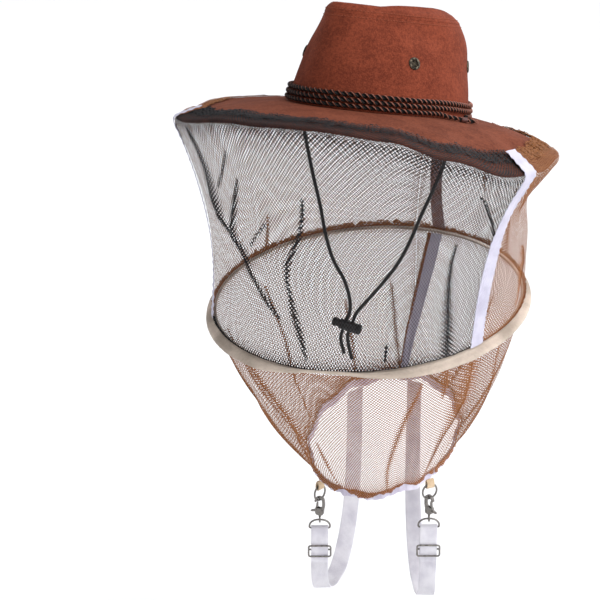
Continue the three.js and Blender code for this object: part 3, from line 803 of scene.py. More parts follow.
def ring_of_spots(place, count):
    """Equal steps round a closed line place(angle) -> (point, outward)."""
    spots = []
    for i in range(count):
        angle = 360 * i / count
        point, out = place(angle)
        after, _ = place(angle + 0.4)
        before, _ = place(angle - 0.4)
        spots.append((point, (after - before).normalized(), out))
    return spots


def facing(spot, angle, along, step):
    """A surface's point and the way out of it there, worked out from the neighbours at all four sides."""
    beside = spot(angle + 1, along) - spot(angle - 1, along)
    over = spot(angle, along + step) - spot(angle, along - step)
    return spot(angle, along), beside.cross(over).normalized()


def wall_line(height, lift=0):
    def place(angle):
        here, out = facing(lambda turn, z: TILT @ crown_wall(turn, z), angle, height, 1)
        return here + out * lift, out

    return place


def tip_line(along):
    return lambda angle: facing(lambda turn, v: tip_spot(turn / 360, v), angle, along, 0.01)


stitches("crown_stitches_low", ring_of_spots(wall_line(83.6), 150), 2.3)
stitches("crown_stitches_high", ring_of_spots(tip_line(0.15), 150), 2.3)

# %% [markdown]
# ## Eyelets
# Each eyelet is a rolled brass rim pressed into the felt round a small disc of wire gauze. The rim is a spun
# profile, the disc a thin cylinder, and thin crossing rods make the gauze. Old brass is dark, with lighter
# and smoother patches where it has been rubbed, so one noise drives its colour and its roughness.

# %% Brass and gauze


def old_brass(wire):
    worn = speckle(wire, 420, 3)
    tone = smooth(worn, 0.35, 0.72)
    return {
        "Base Color": blend(wire, tone, srgb(36, 32, 28), srgb(112, 102, 86)),
        "Roughness": 0.62 - tone * 0.25,
        "Height": (worn, 0.00012),
    }


BRASS = finish("antique_brass", old_brass, Metallic=0.85)
EYELET_ANGLES = {"front": 53.5, "back": 130}
EYELET_HEIGHT, EYELET_LIFT = 47, 0.1
GAUZE_REACH, GAUZE_STEP, GAUZE_WIRE = 3.2, 0.6, 0.12

# %% Four eyelets
RIM = [(3.2, 0.05), (3.3, 0.7), (3.7, 1.2), (4.4, 1.42), (5.2, 1.2), (5.8, 0.7), (6, 0.1), (5.6, -0.1),
       (3.6, -0.1)]


def joined(pieces, name):
    pick(pieces[0])
    for piece in pieces[1:]:
        piece.select_set(True)
    bpy.ops.object.join()
    pieces[0].name = pieces[0].data.name = name
    return pieces[0]


def eyelet_model(name):
    rim = profile_spin(name, RIM, steps=36)
    disc = cylinder(3.4, 0.3, (0, 0, 0.15), sides=36)
    wires = []
    for k in range(-5, 6):
        reach = math.sqrt(GAUZE_REACH**2 - (k * GAUZE_STEP) ** 2)
        for turn in (0, 90):
            spin = Matrix.Rotation(math.radians(turn), 3, "Z")
            ends = [spin @ Vector((k * GAUZE_STEP, s * reach, 0.4 + turn / 900)) for s in (-1, 0, 1)]
            wires.append(([(p, Vector((0, 0, 1)), GAUZE_WIRE) for p in ends], False))
    return joined([rim, disc, tube(name + "_gauze", wires, sides=5)], name)


for side, sign in (("left", 1), ("right", -1)):
    for end, angle in EYELET_ANGLES.items():
        model = eyelet_model(f"eyelet_{side}_{end}_rim")
        spot, out = wall_line(EYELET_HEIGHT, EYELET_LIFT)(sign * angle)
        turn = Vector((0, 0, 1)).rotation_difference(out).to_matrix()
        place_by(model, turn, spot)
        settle(model, BRASS, [f"eyelet_{side}_{end}"], angle=50)
print("eyelets:", 2 * len(EYELET_ANGLES))

# %% [markdown]
# ## The brim
# The brim is one wavy disc of the same felt. Its section runs out along the top, round the edge and back
# along the underside, and that section goes once round the head. A shallow groove near the edge, with a row
# of stitches in it, is where the real brim is stiffened.

# %% Shape of the brim
DROOP = [(-104, 10.5), (-86, 14), (-72, 22), (-55, 27), (-37, 26), (-8, 17), (16, 13.5), (35, 16), (52, 28),
         (73, 40), (89, 36), (105, 26), (125, 24), (160, 21.5), (200, 19), (232, 13)]
BRIM_THICK, EDGE_ROUND = 2.4, 1.2
BRIM_MIDDLE, BRIM_SWAY, BRIM_SWAY_AT = 184, 11, 20
BRIM_GROOVE, GROOVE_DEPTH, GROOVE_HALF = 9, 0.45, 1.6
# Shares of the section: the top, the round edge, the underside, and the step up to the start
TOP_END, UNDER_START, UNDER_SHARE, UNDER_END = 0.46, 0.54, 0.43, 0.97


def droop(angle):
    rows = [*DROOP, (DROOP[0][0] + 360, DROOP[0][1])]
    at = rows[0][0] + (angle - rows[0][0]) % 360
    for (low, first), (high, second) in zip(rows, rows[1:]):
        if at <= high:
            t = (at - low) / (high - low)
            return mix(first, second, t * t * (3 - 2 * t))
    return rows[-1][1]


def brim_radius(angle):
    return BRIM_MIDDLE + BRIM_SWAY * math.cos(math.radians(angle + BRIM_SWAY_AT))


def brim_top(angle, radius):
    inner = crown_foot(angle)
    t = max(0, (radius - inner) / (brim_radius(angle) - inner))
    return -droop(angle) * t**1.5 - foot_dip(angle) * math.exp(-(((radius - inner) / 30) ** 2))


# %% Section of the brim


def brim_spot(u, v):
    angle, above = 360 * u, v < 0.5
    inner, outer = crown_foot(angle) - 3, brim_radius(angle)
    out = v / TOP_END if above else (UNDER_END - v) / UNDER_SHARE
    past = v - TOP_END if above else UNDER_START - v
    turn = math.pi / 2 * max(0, past / 0.04)
    r = mix(inner, outer - EDGE_ROUND, min(1, max(0, out))) + EDGE_ROUND * math.sin(turn)
    rounding = EDGE_ROUND * (1 - math.cos(turn))
    z = brim_top(angle, min(r, outer))
    if above:
        z = z - rounding - GROOVE_DEPTH * math.exp(-(((outer - r - BRIM_GROOVE) / GROOVE_HALF) ** 2))
    else:
        back = max(0, (v - UNDER_END) / 0.03)
        z = z - BRIM_THICK * (1 - back) + rounding
    wave = 0.6 * noise.noise(around(angle, r / 26, 4)) * min(1, max(0, (r - inner) / 15))
    return TILT @ around(angle, r, z + wave)


brim = cloth("brim_felt", 260, 64, brim_spot, (1190, 190), closed=True, centre=Vector((0, 0, -0.02)))
in_edit(brim, (bpy.ops.mesh.normals_make_consistent, {"inside": False}))
settle(brim, SUEDE_BRIM, ["brim"], angle=60)
print("brim:", len(brim.data.polygons), "faces")


# %% Stitches round the brim


def brim_line(inset):
    def at(turn, step):
        r = brim_radius(turn) - inset + step
        return TILT @ around(turn, r, brim_top(turn, r))

    def place(angle):
        here, out = facing(at, angle, 0, 1)
        return here, out if out.z > 0 else -out

    return place


stitches("brim_stitches", ring_of_spots(brim_line(BRIM_GROOVE), 330), 2.5)

# %% [markdown]
# ## The band
# Three twisted cords lie round the foot of the crown. A twisted cord is two strands that wind round a
# common line, so each strand is a tube along a helix. The lowest cord comes to an end at the back left: it is
# whipped with shiny thread, and its tail lies on the brim.

# %% Satin strands with a painted highlight on each crest and painted shade in the grooves
STRANDS = 2
LAY = 11.6
STRAND_UV = 7


def satin_strand_painted_highlight(wire):
    u, v = across(wire)
    # Where a strand faces out from the cord, its colour is lightened as a painted highlight; in the grooves
    # between the strands it is darkened as painted shade.
    painted_crest_highlight = ribs(u, STRAND_UV, "COSINE")
    ply = (u * 9000 + v * 2600).calc("SINE")
    fibre = speckle(wire, 1500, 2)
    tone = smooth(painted_crest_highlight, 0.66, 1) * (ply * 0.25 + fibre + 0.4)
    return {
        # The near-black colour is painted shade in the grooves, and the light red-brown is a painted
        # highlight on the strand crests.
        "Base Color": blend(wire, tone, srgb(12, 7, 6), srgb(168, 104, 84)),
        "Roughness": 0.5 - tone * 0.15,
        "Height": (ply * 0.35 + fibre * 0.5, 0.00018),
    }


SATIN_PAINTED_HIGHLIGHT = finish("band_cord", satin_strand_painted_highlight, Specular_IOR_Level=0.25)

# %% Twisted cords


def twisted(name, line, outs, width, closed, turns):
    """Strands wound round a line of points in millimetres."""
    big = width / 2 + 0.15
    small = big * 0.53
    routes = []
    count = len(line)
    for strand in range(STRANDS):
        route = []
        for i, (point, out) in enumerate(zip(line, outs)):
            ahead = line[(i + 1) % count] if closed else line[min(count - 1, i + 1)]
            back = line[i - 1] if closed else line[max(0, i - 1)]
            tangent = (ahead - back).normalized()
            flat = (out - tangent * out.dot(tangent)).normalized()
            side = tangent.cross(flat)
            turn = 2 * math.pi * (strand / STRANDS + turns * i / (count if closed else count - 1))
            hint = flat * math.cos(turn) + side * math.sin(turn)
            route.append((point + hint * (big - small), hint, small))
        routes.append((route, closed))
    return tube(name, routes, sides=8, cut=STRAND_UV)


# %% Route of the band cords


def band_line(z, width, first, span, steps, loose=False):
    """A band cord's points and outward ways; a loose one leaves the band at its end."""
    line, outs = [], []
    for i in range(steps):
        angle = first + span * i / steps
        left = max(0, 1 - (steps - i) / steps * span / 24) if loose else 0
        r = crown_radius(angle, z) + 0.45 + width / 2 + 17 * left**1.35
        height = z - 1.2 - foot_dip(angle) - 8 * left + 0.25 * math.sin(math.radians(angle * 5 + z))
        line.append(TILT @ around(angle, r, max(height, brim_top(angle, r) + width / 2 + 0.3)))
        outs.append(TILT @ around(angle, 1))
    return line, outs


# Height on the crown, width, first angle, span and steps; the loose one comes last, for its whipped end
BAND = {
    "band_cord_top": (15.6, 4.8, 0, 360, 430),
    "band_cord_middle": (10.4, 4.8, 0, 360, 430),
    "band_cord_bottom": (5.2, 4.4, 110, 348, 420),
}
for name, (z, width, first, span, steps) in BAND.items():
    closed = span == 360
    line, outs = band_line(z, width, first, span, steps, loose=not closed)
    turns = round(length_of(line) / LAY)
    settle(twisted(name + "_twist", line, outs, width, closed, turns), SATIN_PAINTED_HIGHLIGHT, [name], angle=75)
    print(name, round(length_of(line)), "mm,", turns, "turns")

# %% Whipped end
TUFT_HAIRS = 19
tip, toward = line[-1], (line[-1] - line[-4]).normalized()


def whipping_radius(turn, run):
    return 2.55 + 0.16 * math.sin(run * 9)


wound = [(point, outs[-8], whipping_radius) for point in even_line(line[-11:-6], step=0.12)]
whipping = tube("band_whipping", [(wound, False)], sides=16, cut=14)
shiny = finish("whipping_thread", thread(srgb(50, 24, 20), srgb(128, 84, 78)), Roughness=0.35)
settle(whipping, shiny, angle=70)
tuft = []
for k in range(TUFT_HAIRS):
    ring, turn = (0, 0) if k == 0 else (1 if k < 7 else 2, k * 2.4)
    spread = outs[-1] * math.cos(turn) + toward.cross(outs[-1]) * math.sin(turn)
    start = tip - toward * 0.8 + spread * ring * 0.75
    end = start + toward * (3 + math.sin(k * 2.1)) + spread * ring * 0.45
    hair = [(start, outs[-1], 0.42), (start.lerp(end, 0.5), outs[-1], 0.4), (end, outs[-1], 0.2)]
    tuft.append((hair, False))
settle(tube("band_tuft", tuft, sides=5), SATIN_PAINTED_HIGHLIGHT, angle=75)

# %% [markdown]
# ## The net
# The net is a fine knotted mesh with holes about two millimetres across. At that size holes are cheaper as
# transparency than as geometry: the material works out, from the cloth's own coordinates, where its two sets
# of threads run, and is clear between them. Where the cloth is gathered, an attribute on the mesh makes the
# threads wider, because there several layers lie on each other.

# %% Net material
NET_PITCH = 2.5
# How much of the pitch half a thread takes, how far gathering closes the holes, and the two colours
NETS = {
    "black": (0.066, 0.34, srgb(12, 11, 12), srgb(40, 37, 39)),
    "brown": (0.125, 0.25, srgb(104, 62, 34), srgb(166, 108, 64)),
}
GLOSS = {"black": 0.2, "brown": 0.25}


def knotted_net(share, closing, dark, light):
    def recipe(wire):
        u, v = across(wire)
        dense = wire.node("ShaderNodeAttribute", {"attribute_name": "gather"}, out="Fac")
        wander = speckle(wire, 45, 2) * 0.5
        ways = [way * (1000 / NET_PITCH / 1.41) + wander for way in (u + v, u - v)]
        first, second = ((way.calc("FRACT") - 0.5).calc("ABSOLUTE") for way in ways)
        reach = 0.5 - share - dense * closing
        line = first.calc("MAXIMUM", second).calc("GREATER_THAN", reach)
        knot = (first + second).calc("GREATER_THAN", reach * 2 - 0.13)
        tone = speckle(wire, 900, 2)
        return {
            "Base Color": blend(wire, tone, dark, light),
            "Alpha": line.calc("MAXIMUM", knot),
            "Height": (tone, 0.0001),
        }

    return recipe


NET = {
    colour: finish(f"{colour}_net", knotted_net(*recipe), Roughness=0.7, Specular_IOR_Level=GLOSS[colour])
    for colour, recipe in NETS.items()
}

# %% Hang of the net
SEAMS = [-47, 73, 193]
HOOP_CENTRE = Vector((-6.5, -4.5, -190))
HOOP_OUTER, HOOP_WIDTH, HOOP_THICK = 162.5, 10.5, 3.2
NET_FOOT = HOOP_OUTER - HOOP_WIDTH + 3
HEM_CENTRE = Vector((8.7, 6.1, -341))
HEM_RADIUS, HEM_HALF = 76, 4
HEM_FRILLS, FRILL_OUT, FRILL_UP = 12, 1.1, 1.4
# How a ring's height changes with x and with y, away from its middle
HOOP_SLOPE, HEM_SLOPE = (-0.022, 0.178), (-0.074, 0.475)
HEM_SCALLOPS = [(4, 45, 6), (-2.5, 57, 5), (1.5, 12, 5), (-1.5, 24, 6)]
WAIST, WAVE, WAVES = 5, 2.2, 9
NET_LIFT, NET_GAP = 0.6, 0.35
EDGE_FALL = 2


def brim_angle(angle):
    return angle + 9 * bump(angle, 76, 42)


def slanted(centre, slope, x, y):
    return centre.z + slope[0] * x + slope[1] * y


def hoop_point(angle, radius, above):
    p = around(angle, radius) + Vector((HOOP_CENTRE.x, HOOP_CENTRE.y, 0))
    p.z = slanted(HOOP_CENTRE, HOOP_SLOPE, p.x - HOOP_CENTRE.x, p.y - HOOP_CENTRE.y) + above
    return p


def hem_point(angle, out, above):
    frill = math.cos(math.radians(angle * HEM_FRILLS))
    p = around(angle, HEM_RADIUS + out + FRILL_OUT * frill)
    z = slanted(HEM_CENTRE, HEM_SLOPE, p.x, p.y) + above + FRILL_UP * frill + bumps(angle, HEM_SCALLOPS)
    return Vector((p.x + HEM_CENTRE.x, p.y + HEM_CENTRE.y, z))


# %% Net between the brim and the hoop


def wrinkle(angle, v, size, count, seed):
    """A soft radial fold pattern that leans as it goes down."""
    lean = noise.noise(Vector((angle / 25, v * 1.3, seed))) * 0.8
    waves = math.sin(math.radians(angle * count) + lean * 4 + seed)
    return size * (0.6 * waves + 0.7 * noise.noise(Vector((angle / 7, v * 2.2, seed + 5))))


def net_top(at, inward, lift):
    """A point of the net on the brim: inward from the edge, or negative for past it."""
    outer = brim_radius(at)
    r = outer - inward
    return TILT @ around(at, r, brim_top(at, min(r, outer)) + lift)


def hanging(angle, w, lift=NET_LIFT):
    """A point of the net between the brim's edge (w = 0) and the hoop (w = 1)."""
    at = brim_angle(angle)
    outer = brim_radius(at)
    top = TILT @ around(at, outer + lift + NET_GAP, brim_top(at, outer) - BRIM_THICK - EDGE_FALL)
    foot = hoop_point(angle, NET_FOOT + lift, HOOP_THICK / 2 + 0.3)
    first, last = math.atan2(top.x, -top.y), math.atan2(foot.x, -foot.y)
    swing = (last - first + math.pi) % (2 * math.pi) - math.pi
    draw = 1 - (1 - w) ** 2.2
    free = math.sin(math.pi * w)
    r = mix(math.hypot(top.x, top.y), math.hypot(foot.x, foot.y), draw)
    r += -WAIST * free + WAVE * free * math.cos(math.radians(angle * WAVES))
    turn = first + swing * w
    return Vector((r * math.sin(turn), -r * math.cos(turn), mix(top.z, foot.z, w)))


# %% [markdown]
# A fold in net looks dark because the cloth lies there in three layers. Each fold below is a line on the
# cloth, with its width at every point. Near that line the cloth is pushed sideways over itself, lifted a
# little, and marked as dense.

# %% Folds
VEIL_FOLDS = [
    [(-31.5, 0, 1.3), (-30, 0.09, 1.4), (-29.2, 0.2, 1.5), (-30, 0.33, 2.1), (-28.4, 0.43, 1.4),
     (-24.5, 0.49, 0.8), (-19, 0.56, 0.5)],
    [(-13.1, 0.23, 0.35), (-17.1, 0.31, 0.8), (-19.8, 0.38, 1.1), (-23.1, 0.47, 1.4), (-22.5, 0.51, 1.5),
     (-18.8, 0.55, 1.7), (-17, 0.59, 1.3), (-14.5, 0.65, 1.1), (-10.5, 0.69, 1.3), (-6.3, 0.73, 1.7),
     (0, 0.8, 0.4)],
    [(-14.6, 0.11, 0.4), (-20, 0.2, 0.5), (-26, 0.29, 0.4)],
    [(-3.8, 0.41, 0.4), (-13.5, 0.53, 0.5)],
    [(9.8, 0.29, 0.35), (9.4, 0.36, 0.45), (8.1, 0.44, 0.55), (5.6, 0.51, 0.7), (3.1, 0.57, 0.8),
     (2.8, 0.64, 0.5), (4.1, 0.7, 0.6), (5.7, 0.78, 1), (7.8, 0.85, 0.9), (9.6, 0.91, 0.7), (11, 0.96, 0.4)],
    [(57, 0.39, 0.35), (57.2, 0.51, 0.6), (58.7, 0.68, 1), (60.1, 0.83, 1.5), (60.8, 1, 2.1)],
    [(58, 0.11, 0.35), (62, 0.15, 0.5), (67.2, 0.25, 0.6), (72, 0.37, 0.5)],
    [(38.4, 0.88, 0.4), (38.4, 0.96, 0.4)],
    [(77, 0, 2.8), (79, 0.08, 3.2), (82, 0.17, 2.6), (85, 0.27, 0.6)],
    [(108, 0.6, 1), (108.5, 0.72, 2.2), (105, 0.85, 2.2), (98, 0.95, 1)],
    [(140, 0.3, 0.4), (144, 0.7, 1.2), (147, 1, 1.8)],
    [(168, 0, 1.3), (165, 0.35, 0.6), (163, 0.5, 0.35)],
    [(258, 0.75, 0.4), (257, 1, 1.2)],
]
SKIRT_FOLDS = [
    [(-17, 0, 1.8), (-16, 0.06, 1.8), (-13, 0.19, 1.9), (-8.8, 0.31, 2.2), (-5.4, 0.39, 2.4),
     (-4.5, 0.52, 2.4), (-10, 0.7, 2.6), (-14, 0.82, 2.6), (-20, 1, 2.4)],
    [(-42, 0.02, 2.2), (-40, 0.23, 2.4), (-34.1, 0.35, 2.4), (-28.5, 0.5, 2.4), (-27.7, 0.74, 2.2),
     (-27.5, 1, 2)],
    [(4.7, 0.56, 0.35), (3.6, 0.73, 0.6), (1, 0.91, 0.7), (0.5, 1, 0.7)],
    [(52, 0.12, 0.35), (50.3, 0.2, 0.5), (46.6, 0.34, 0.9), (43.4, 0.47, 1.1), (39.2, 0.65, 0.9),
     (36, 0.82, 0.8), (35, 1, 0.9)],
    [(61.1, 0, 1.8), (61.1, 0.16, 1.3), (60.4, 0.27, 0.4)],
    [(72.5, 0, 2.4), (72, 0.09, 2.8), (71.5, 0.24, 3.2), (70.8, 0.36, 3.8), (68.9, 0.42, 3.2),
     (66.9, 0.53, 1.9), (65, 0.6, 1.3), (63.9, 0.7, 0.9), (63, 0.81, 0.8), (61.8, 0.92, 1), (59.4, 1, 1.1)],
    [(88, 0.05, 0.4), (88.1, 0.23, 0.6), (90, 0.45, 0.8), (91.7, 0.7, 1), (91.2, 0.83, 1), (86, 1, 1)],
    [(118, 0.35, 0.4), (116, 0.7, 1), (113, 1, 1.6)],
    [(150, 0.3, 0.4), (152, 0.7, 1), (154, 1, 1.6)],
    [(205, 0.4, 0.4), (203, 0.75, 1), (200, 1, 1.5)],
    [(228.1, 0.48, 0.4), (228.5, 0.65, 0.8), (229.8, 0.79, 0.9), (234.4, 1, 0.9)],
    [(263.5, 0.19, 0.4), (265, 0.43, 0.6), (266.2, 0.57, 0.7), (268.7, 0.67, 0.7), (272.6, 0.76, 0.7),
     (276.9, 0.85, 0.7), (281.2, 0.92, 0.6), (285, 1, 0.6)],
    [(300, 0.2, 0.4), (303, 0.6, 1.1), (306, 1, 1.8)],
]


# %% Find the fold at a place
FOLD_PUSH, FOLD_LIFT, FOLD_LIFT_MOST = 1.25, 1.6, 3


def turn_between(angle, other):
    """Degrees from one angle to another, the short way round."""
    return (angle - other + 180) % 360 - 180


def fold_at(folds, angle, w):
    """Sideways push in degrees, lift in millimetres and density at a place on a panel."""
    push = lift = dense = 0.0
    for line in folds:
        if not line[0][1] <= w <= line[-1][1]:
            continue
        for (a0, w0, s0), (a1, w1, s1) in zip(line, line[1:]):
            if w0 <= w <= w1:
                t = (w - w0) / (w1 - w0)
                width = mix(s0, s1, t)
                x = turn_between(angle, mix(a0, a1, t)) / width
                if abs(x) < 3:
                    near = math.exp(-x * x)
                    push -= FOLD_PUSH * width * x * near
                    lift += min(FOLD_LIFT_MOST, FOLD_LIFT * width) * near
                    dense = max(dense, near**0.6)
                break
    return push, lift, dense


# %% Three panels above the hoop
PANELS = [("front", SEAMS[0], "black"), ("left", SEAMS[1], "brown"), ("right", SEAMS[2], "brown")]
PANEL_SPAN = 120
ON_BRIM = {"front": 27, "left": 25, "right": 25}
CRUMPLE = {"front": 2.8, "left": 2.8, "right": 1.2}
# Shares of a panel's length: on the brim, round its edge, and the rest hangs free
EDGE_START, EDGE_END = 0.13, 0.19
LEAN_ABOVE, LEAN_BELOW = (-3.3, -9.5), (-9, 3)


def on_brim_width(name, angle):
    return ON_BRIM[name] + 3.5 * noise.noise(around(angle, 5, 1)) + 1.5 * noise.noise(around(angle, 30, 2))


def beside_tapes(angle, w):
    """1 on the open net and 0 under a tape, where the stitching holds the net flat."""
    lines = (SEAMS[0], SEAMS[1], SEAMS[2] + mix(*LEAN_ABOVE, w))
    gap = min(abs(turn_between(angle, line)) for line in lines)
    return 1 - math.exp(-((gap / 5) ** 4))


# %% Where the panels lie


def veil_place(name, angle, v, lift=NET_LIFT, folds=True):
    at = brim_angle(angle)
    if v < EDGE_START:
        t = v / EDGE_START
        fine = 0.7 * abs(noise.noise(around(angle, 75, t * 4)))
        crumple = abs(noise.noise(around(angle, 26, t * 1.5))) + fine
        fade = math.sin(math.pi * min(1, t * 1.1 + 0.15)) if t < 0.77 else math.sin(math.pi * min(1, t))
        rise = lift + NET_GAP + CRUMPLE[name] * crumple * max(0, fade)
        return net_top(at, on_brim_width(name, angle) * (1 - t), rise)
    if v < EDGE_END:
        t = (v - EDGE_START) / (EDGE_END - EDGE_START)
        outer = brim_radius(at)
        r = outer + (lift + NET_GAP) * math.sin(math.pi / 2 * min(1, 2 * t))
        z = brim_top(at, outer) + mix(lift + NET_GAP, -BRIM_THICK - EDGE_FALL, t)
        return TILT @ around(at, r, z)
    w = (v - EDGE_END) / (1 - EDGE_END)
    push, rise, _ = fold_at(VEIL_FOLDS, angle, w) if folds else (0, 0, 0)
    calm = beside_tapes(angle, w)
    push, rise = push * calm, rise * calm
    free = math.sin(math.pi * min(1, w)) ** 0.7
    top = math.exp(-w * 9) * (1 - math.exp(-w * 60))
    out = wrinkle(angle, w, 2.0, 14, 3) * free + wrinkle(angle, w, 1.6, 55, 8) * top + rise * free
    p = hanging(angle + push, w, lift)
    away = Vector((p.x, p.y, 0)).normalized()
    drawn_in = 12 * bump(angle, 108, 30) * math.exp(-(((w - 0.28) / 0.22) ** 2)) * min(1, w * 8)
    return p + away * (out - drawn_in)


# %% How dense the net is


def brim_cover(name, angle):
    """How closely the net is gathered on the brim: thick at the front right, thin towards the left."""
    if name == "front":
        return mix(0.36, 0.17, min(1, max(0, (angle + 5) / 40)))
    return 0.12


def veil_dense(name, angle, v):
    if v < EDGE_END:
        return brim_cover(name, angle) + 0.35 * max(0, noise.noise(around(angle, 22, v * 20)))
    w = (v - EDGE_END) / (1 - EDGE_END)
    _, _, dense = fold_at(VEIL_FOLDS, angle, w)
    ends = math.exp(-w * 26) * 0.45 + math.exp(-(1 - w) * 45) * 0.5
    drawn = 0.7 * bump(angle, 100, 27) * math.exp(-(((w - 0.16) / 0.17) ** 2))
    return max(dense * 0.95, ends, drawn)


def seam_share(u):
    """The net stops a little short of its seams, so that neighbours don't share a place."""
    return mix(0.0012, 0.9988, u)


def side_edge(u):
    """Denser net where a panel is turned in at its two seams."""
    return math.exp(-min(u, 1 - u) * 60) * 0.35


# %% Make the panels
VEIL_CUT = {"front": (405, 225), "left": (370, 185), "right": (370, 185)}
sheets = []
trims = {}


def net_piece(name, grid, cut, colour, place, gather, replaces=(), rests_on=(), trim_of=None):
    """A piece of net: a sheet of its own, or a trim that goes with one."""
    piece = cloth(name, *grid, place, cut, gather=gather)
    settle(piece, NET[colour], replaces, angle=80)
    if trim_of:
        trims.setdefault(trim_of, []).append(piece)
    else:
        sheets.append((piece, cut, "gathered", rests_on))


for name, seam, colour in PANELS:
    net_piece(
        f"veil_{name}_net", (300, 80), VEIL_CUT[name], colour,
        lambda u, v: veil_place(name, seam + PANEL_SPAN * seam_share(u), v),
        lambda u, v: max(side_edge(u), veil_dense(name, seam + PANEL_SPAN * u, v)),
        replaces=[f"veil_{name}"], rests_on=["brim_felt", "hoop_casing"],
    )
print("veil panels:", len(sheets))

# %% [markdown]
# The net's upper edge is gathered and sewn down on the brim. Gathering makes many small pleats that lie over
# each other. A wave with a sideways part does the same: the grid swings forward and back along the edge, so
# every place is covered by three layers.

# %% Gathered frill on the brim
PLEATS = 64
FRILL_CUT = {"front": (500, 18), "left": (470, 18), "right": (420, 18)}


def frill_place(name, seam, u, v):
    flat = seam + PANEL_SPAN * mix(0.004, 0.996, u)
    uneven = noise.noise(around(flat, 14, 6))
    phase = 2 * math.pi * PLEATS * u + 5 * noise.noise(around(flat, 9, 2))
    angle = flat + (0.34 + 0.2 * uneven) * math.sin(phase) * (0.5 + v)
    inward = on_brim_width(name, flat) + 2.5 + 3 * uneven + 1.2 * noise.noise(around(angle, 40, 3)) - 17 * v
    rise = (0.5 + 0.4 * uneven) * (1 + math.cos(phase + 0.8)) * (1 - 0.4 * v)
    rise = 1.2 + (rise + 2 * abs(noise.noise(around(flat, 22, v * 2 + 9)))) * CRUMPLE[name] / 2.8
    return net_top(brim_angle(angle), inward, rise)


def frill_dense(name, angle, v):
    return brim_cover(name, angle) + 0.4 * abs(noise.noise(around(angle, 40, v * 3)))


for name, seam, colour in PANELS:
    net_piece(
        f"brim_frill_{name}", (PLEATS * 10, 8), FRILL_CUT[name], colour,
        lambda u, v: frill_place(name, seam, u, v),
        lambda u, v: frill_dense(name, seam + PANEL_SPAN * u, v),
        rests_on=["brim_felt"],
    )

# %% [markdown]
# ## Seam tapes
# White tape covers the three seams from the brim to the hoop, and one of them below it, where it lies inside
# the net. Woven tape has fine ribs across it and a firm edge, and it puckers a little where the machine has
# pulled it in.

# %% Ribbed tape


def woven_tape(wire):
    u, v = across(wire)
    weft, warp = ribs(v, 0.9), ribs(u, 0.6)
    soil = smooth(speckle(wire, 60, 3), 0.3, 0.8)
    return {
        "Base Color": blend(wire, soil, srgb(208, 205, 222), srgb(184, 180, 200)),
        "Height": (weft * 0.6 + warp * 0.3 + speckle(wire, 700, 2) * 0.5, 0.00012),
    }


TAPE = finish("tape", woven_tape, Roughness=0.6, Sheen_Weight=0.3)
HALF_TAPE = 2.7
TAPE_LIFT = NET_LIFT + 1.8
TAPE_START, TAPE_ON_BRIM = 0.02, 27


def tape_spot(seam, u, v, line, lean=(0, 0)):
    """A spot on a tape along a seam; lean turns its upper and lower end round the hat, in degrees."""
    edge = (u - 0.5) * 2
    seam += mix(*lean, v)
    pucker = 0.5 * abs(edge) ** 3 * math.sin(v * 190 + edge * 2) + 0.4 * noise.noise(Vector((u, v * 9, seam)))
    reach = edge * HALF_TAPE * (1 + 0.05 * noise.noise(Vector((v * 12, seam, edge))))
    return line(seam + reach, v, TAPE_LIFT + pucker)


# %% Lay the tapes


def tape_above(angle, v, lift):
    t = mix(TAPE_START, 1, v)
    if t < EDGE_START:
        back = 1 - t / EDGE_START
        return net_top(brim_angle(angle), TAPE_ON_BRIM * back, lift + 3 * back + 0.6)
    return veil_place("front", angle, t, lift, folds=False)


def sew_tape(node, rows, cut, flat, place, rests_on):
    strip = cloth(node + "_woven", 10, rows, place, cut, thick=0.5)
    settle(strip, TAPE, [node])
    sheets.append((strip, flat, "hung", rests_on))


TAPES = {"tape_right": (SEAMS[0], 225, (0, 0)), "tape_left": (SEAMS[1], 225, (0, 0)),
         "tape_back": (SEAMS[2], 180, LEAN_ABOVE)}
for node, (seam, long, lean) in TAPES.items():
    sew_tape(node, 130, (16.5, 225), (16.5, long), lambda u, v: tape_spot(seam, u, v, tape_above, lean),
             ["brim_felt", "hoop_casing"])
print("tapes above the hoop:", len(TAPES))

# %% [markdown]
# ## The hoop
# A flat casing of beige cotton holds a springy wire at its outer edge. Its section is thick and round at the
# wire and thin where the two layers are sewn together. The net's raw seam edge stands up along it.

# %% Cotton casing


def cotton(wire):
    u, v = across(wire)
    weave = ribs(u, 0.8) * ribs(v, 0.8)
    tone = smooth(speckle(wire, 28, 3) * 0.85 + speckle(wire, 400, 2) * 0.15, 0.32, 0.68)
    return {
        "Base Color": blend(wire, tone, srgb(168, 153, 138), srgb(218, 201, 185)),
        "Height": (weave * 0.4 + speckle(wire, 900, 2) * 0.6, 0.00022),
    }


CASING = finish("hoop_casing", cotton, Roughness=0.85, Sheen_Weight=0.15)
HOOP_UPPER = [(-10.5, 0), (-10.2, 0.8), (-8, 0.95), (-5.4, 1), (-3.8, 1.3), (-2, 1.6), (-0.5, 1.15), (0, 0)]
HOOP_LINE = [Vector((r, 0, z)) for r, z in [*HOOP_UPPER, *((r, -z) for r, z in HOOP_UPPER[-2::-1])]]
CASING_DROOP = 6.5
CASING_LEVEL = [(1.7, 19, 19), (0.7, 215, 50)]


def hoop_spot(u, v):
    angle = 360 * u
    p = along_points(HOOP_LINE, v)
    tuck = 0.22 * noise.noise(around(angle, 34, p.x / 5)) + 0.25 * noise.noise(around(angle, 9, 1))
    out = (p.x + HOOP_WIDTH) / HOOP_WIDTH
    level = bumps(angle, CASING_LEVEL)
    droop = CASING_DROOP * out * (1 - level + 0.12 * noise.noise(around(angle, 6, 4)))
    return hoop_point(angle, HOOP_OUTER + p.x + tuck * 0.6, p.z * (1 + tuck) - droop)


hoop = cloth("hoop_casing", 300, 28, hoop_spot, (1020, 24), closed=True, centre=Vector((0, 0, -0.19)))
in_edit(hoop, (bpy.ops.mesh.normals_make_consistent, {"inside": False}))
settle(hoop, CASING, ["hoop"], angle=70)
print("hoop:", 2 * HOOP_OUTER, "mm across")

# %% Raw seam edge on the hoop


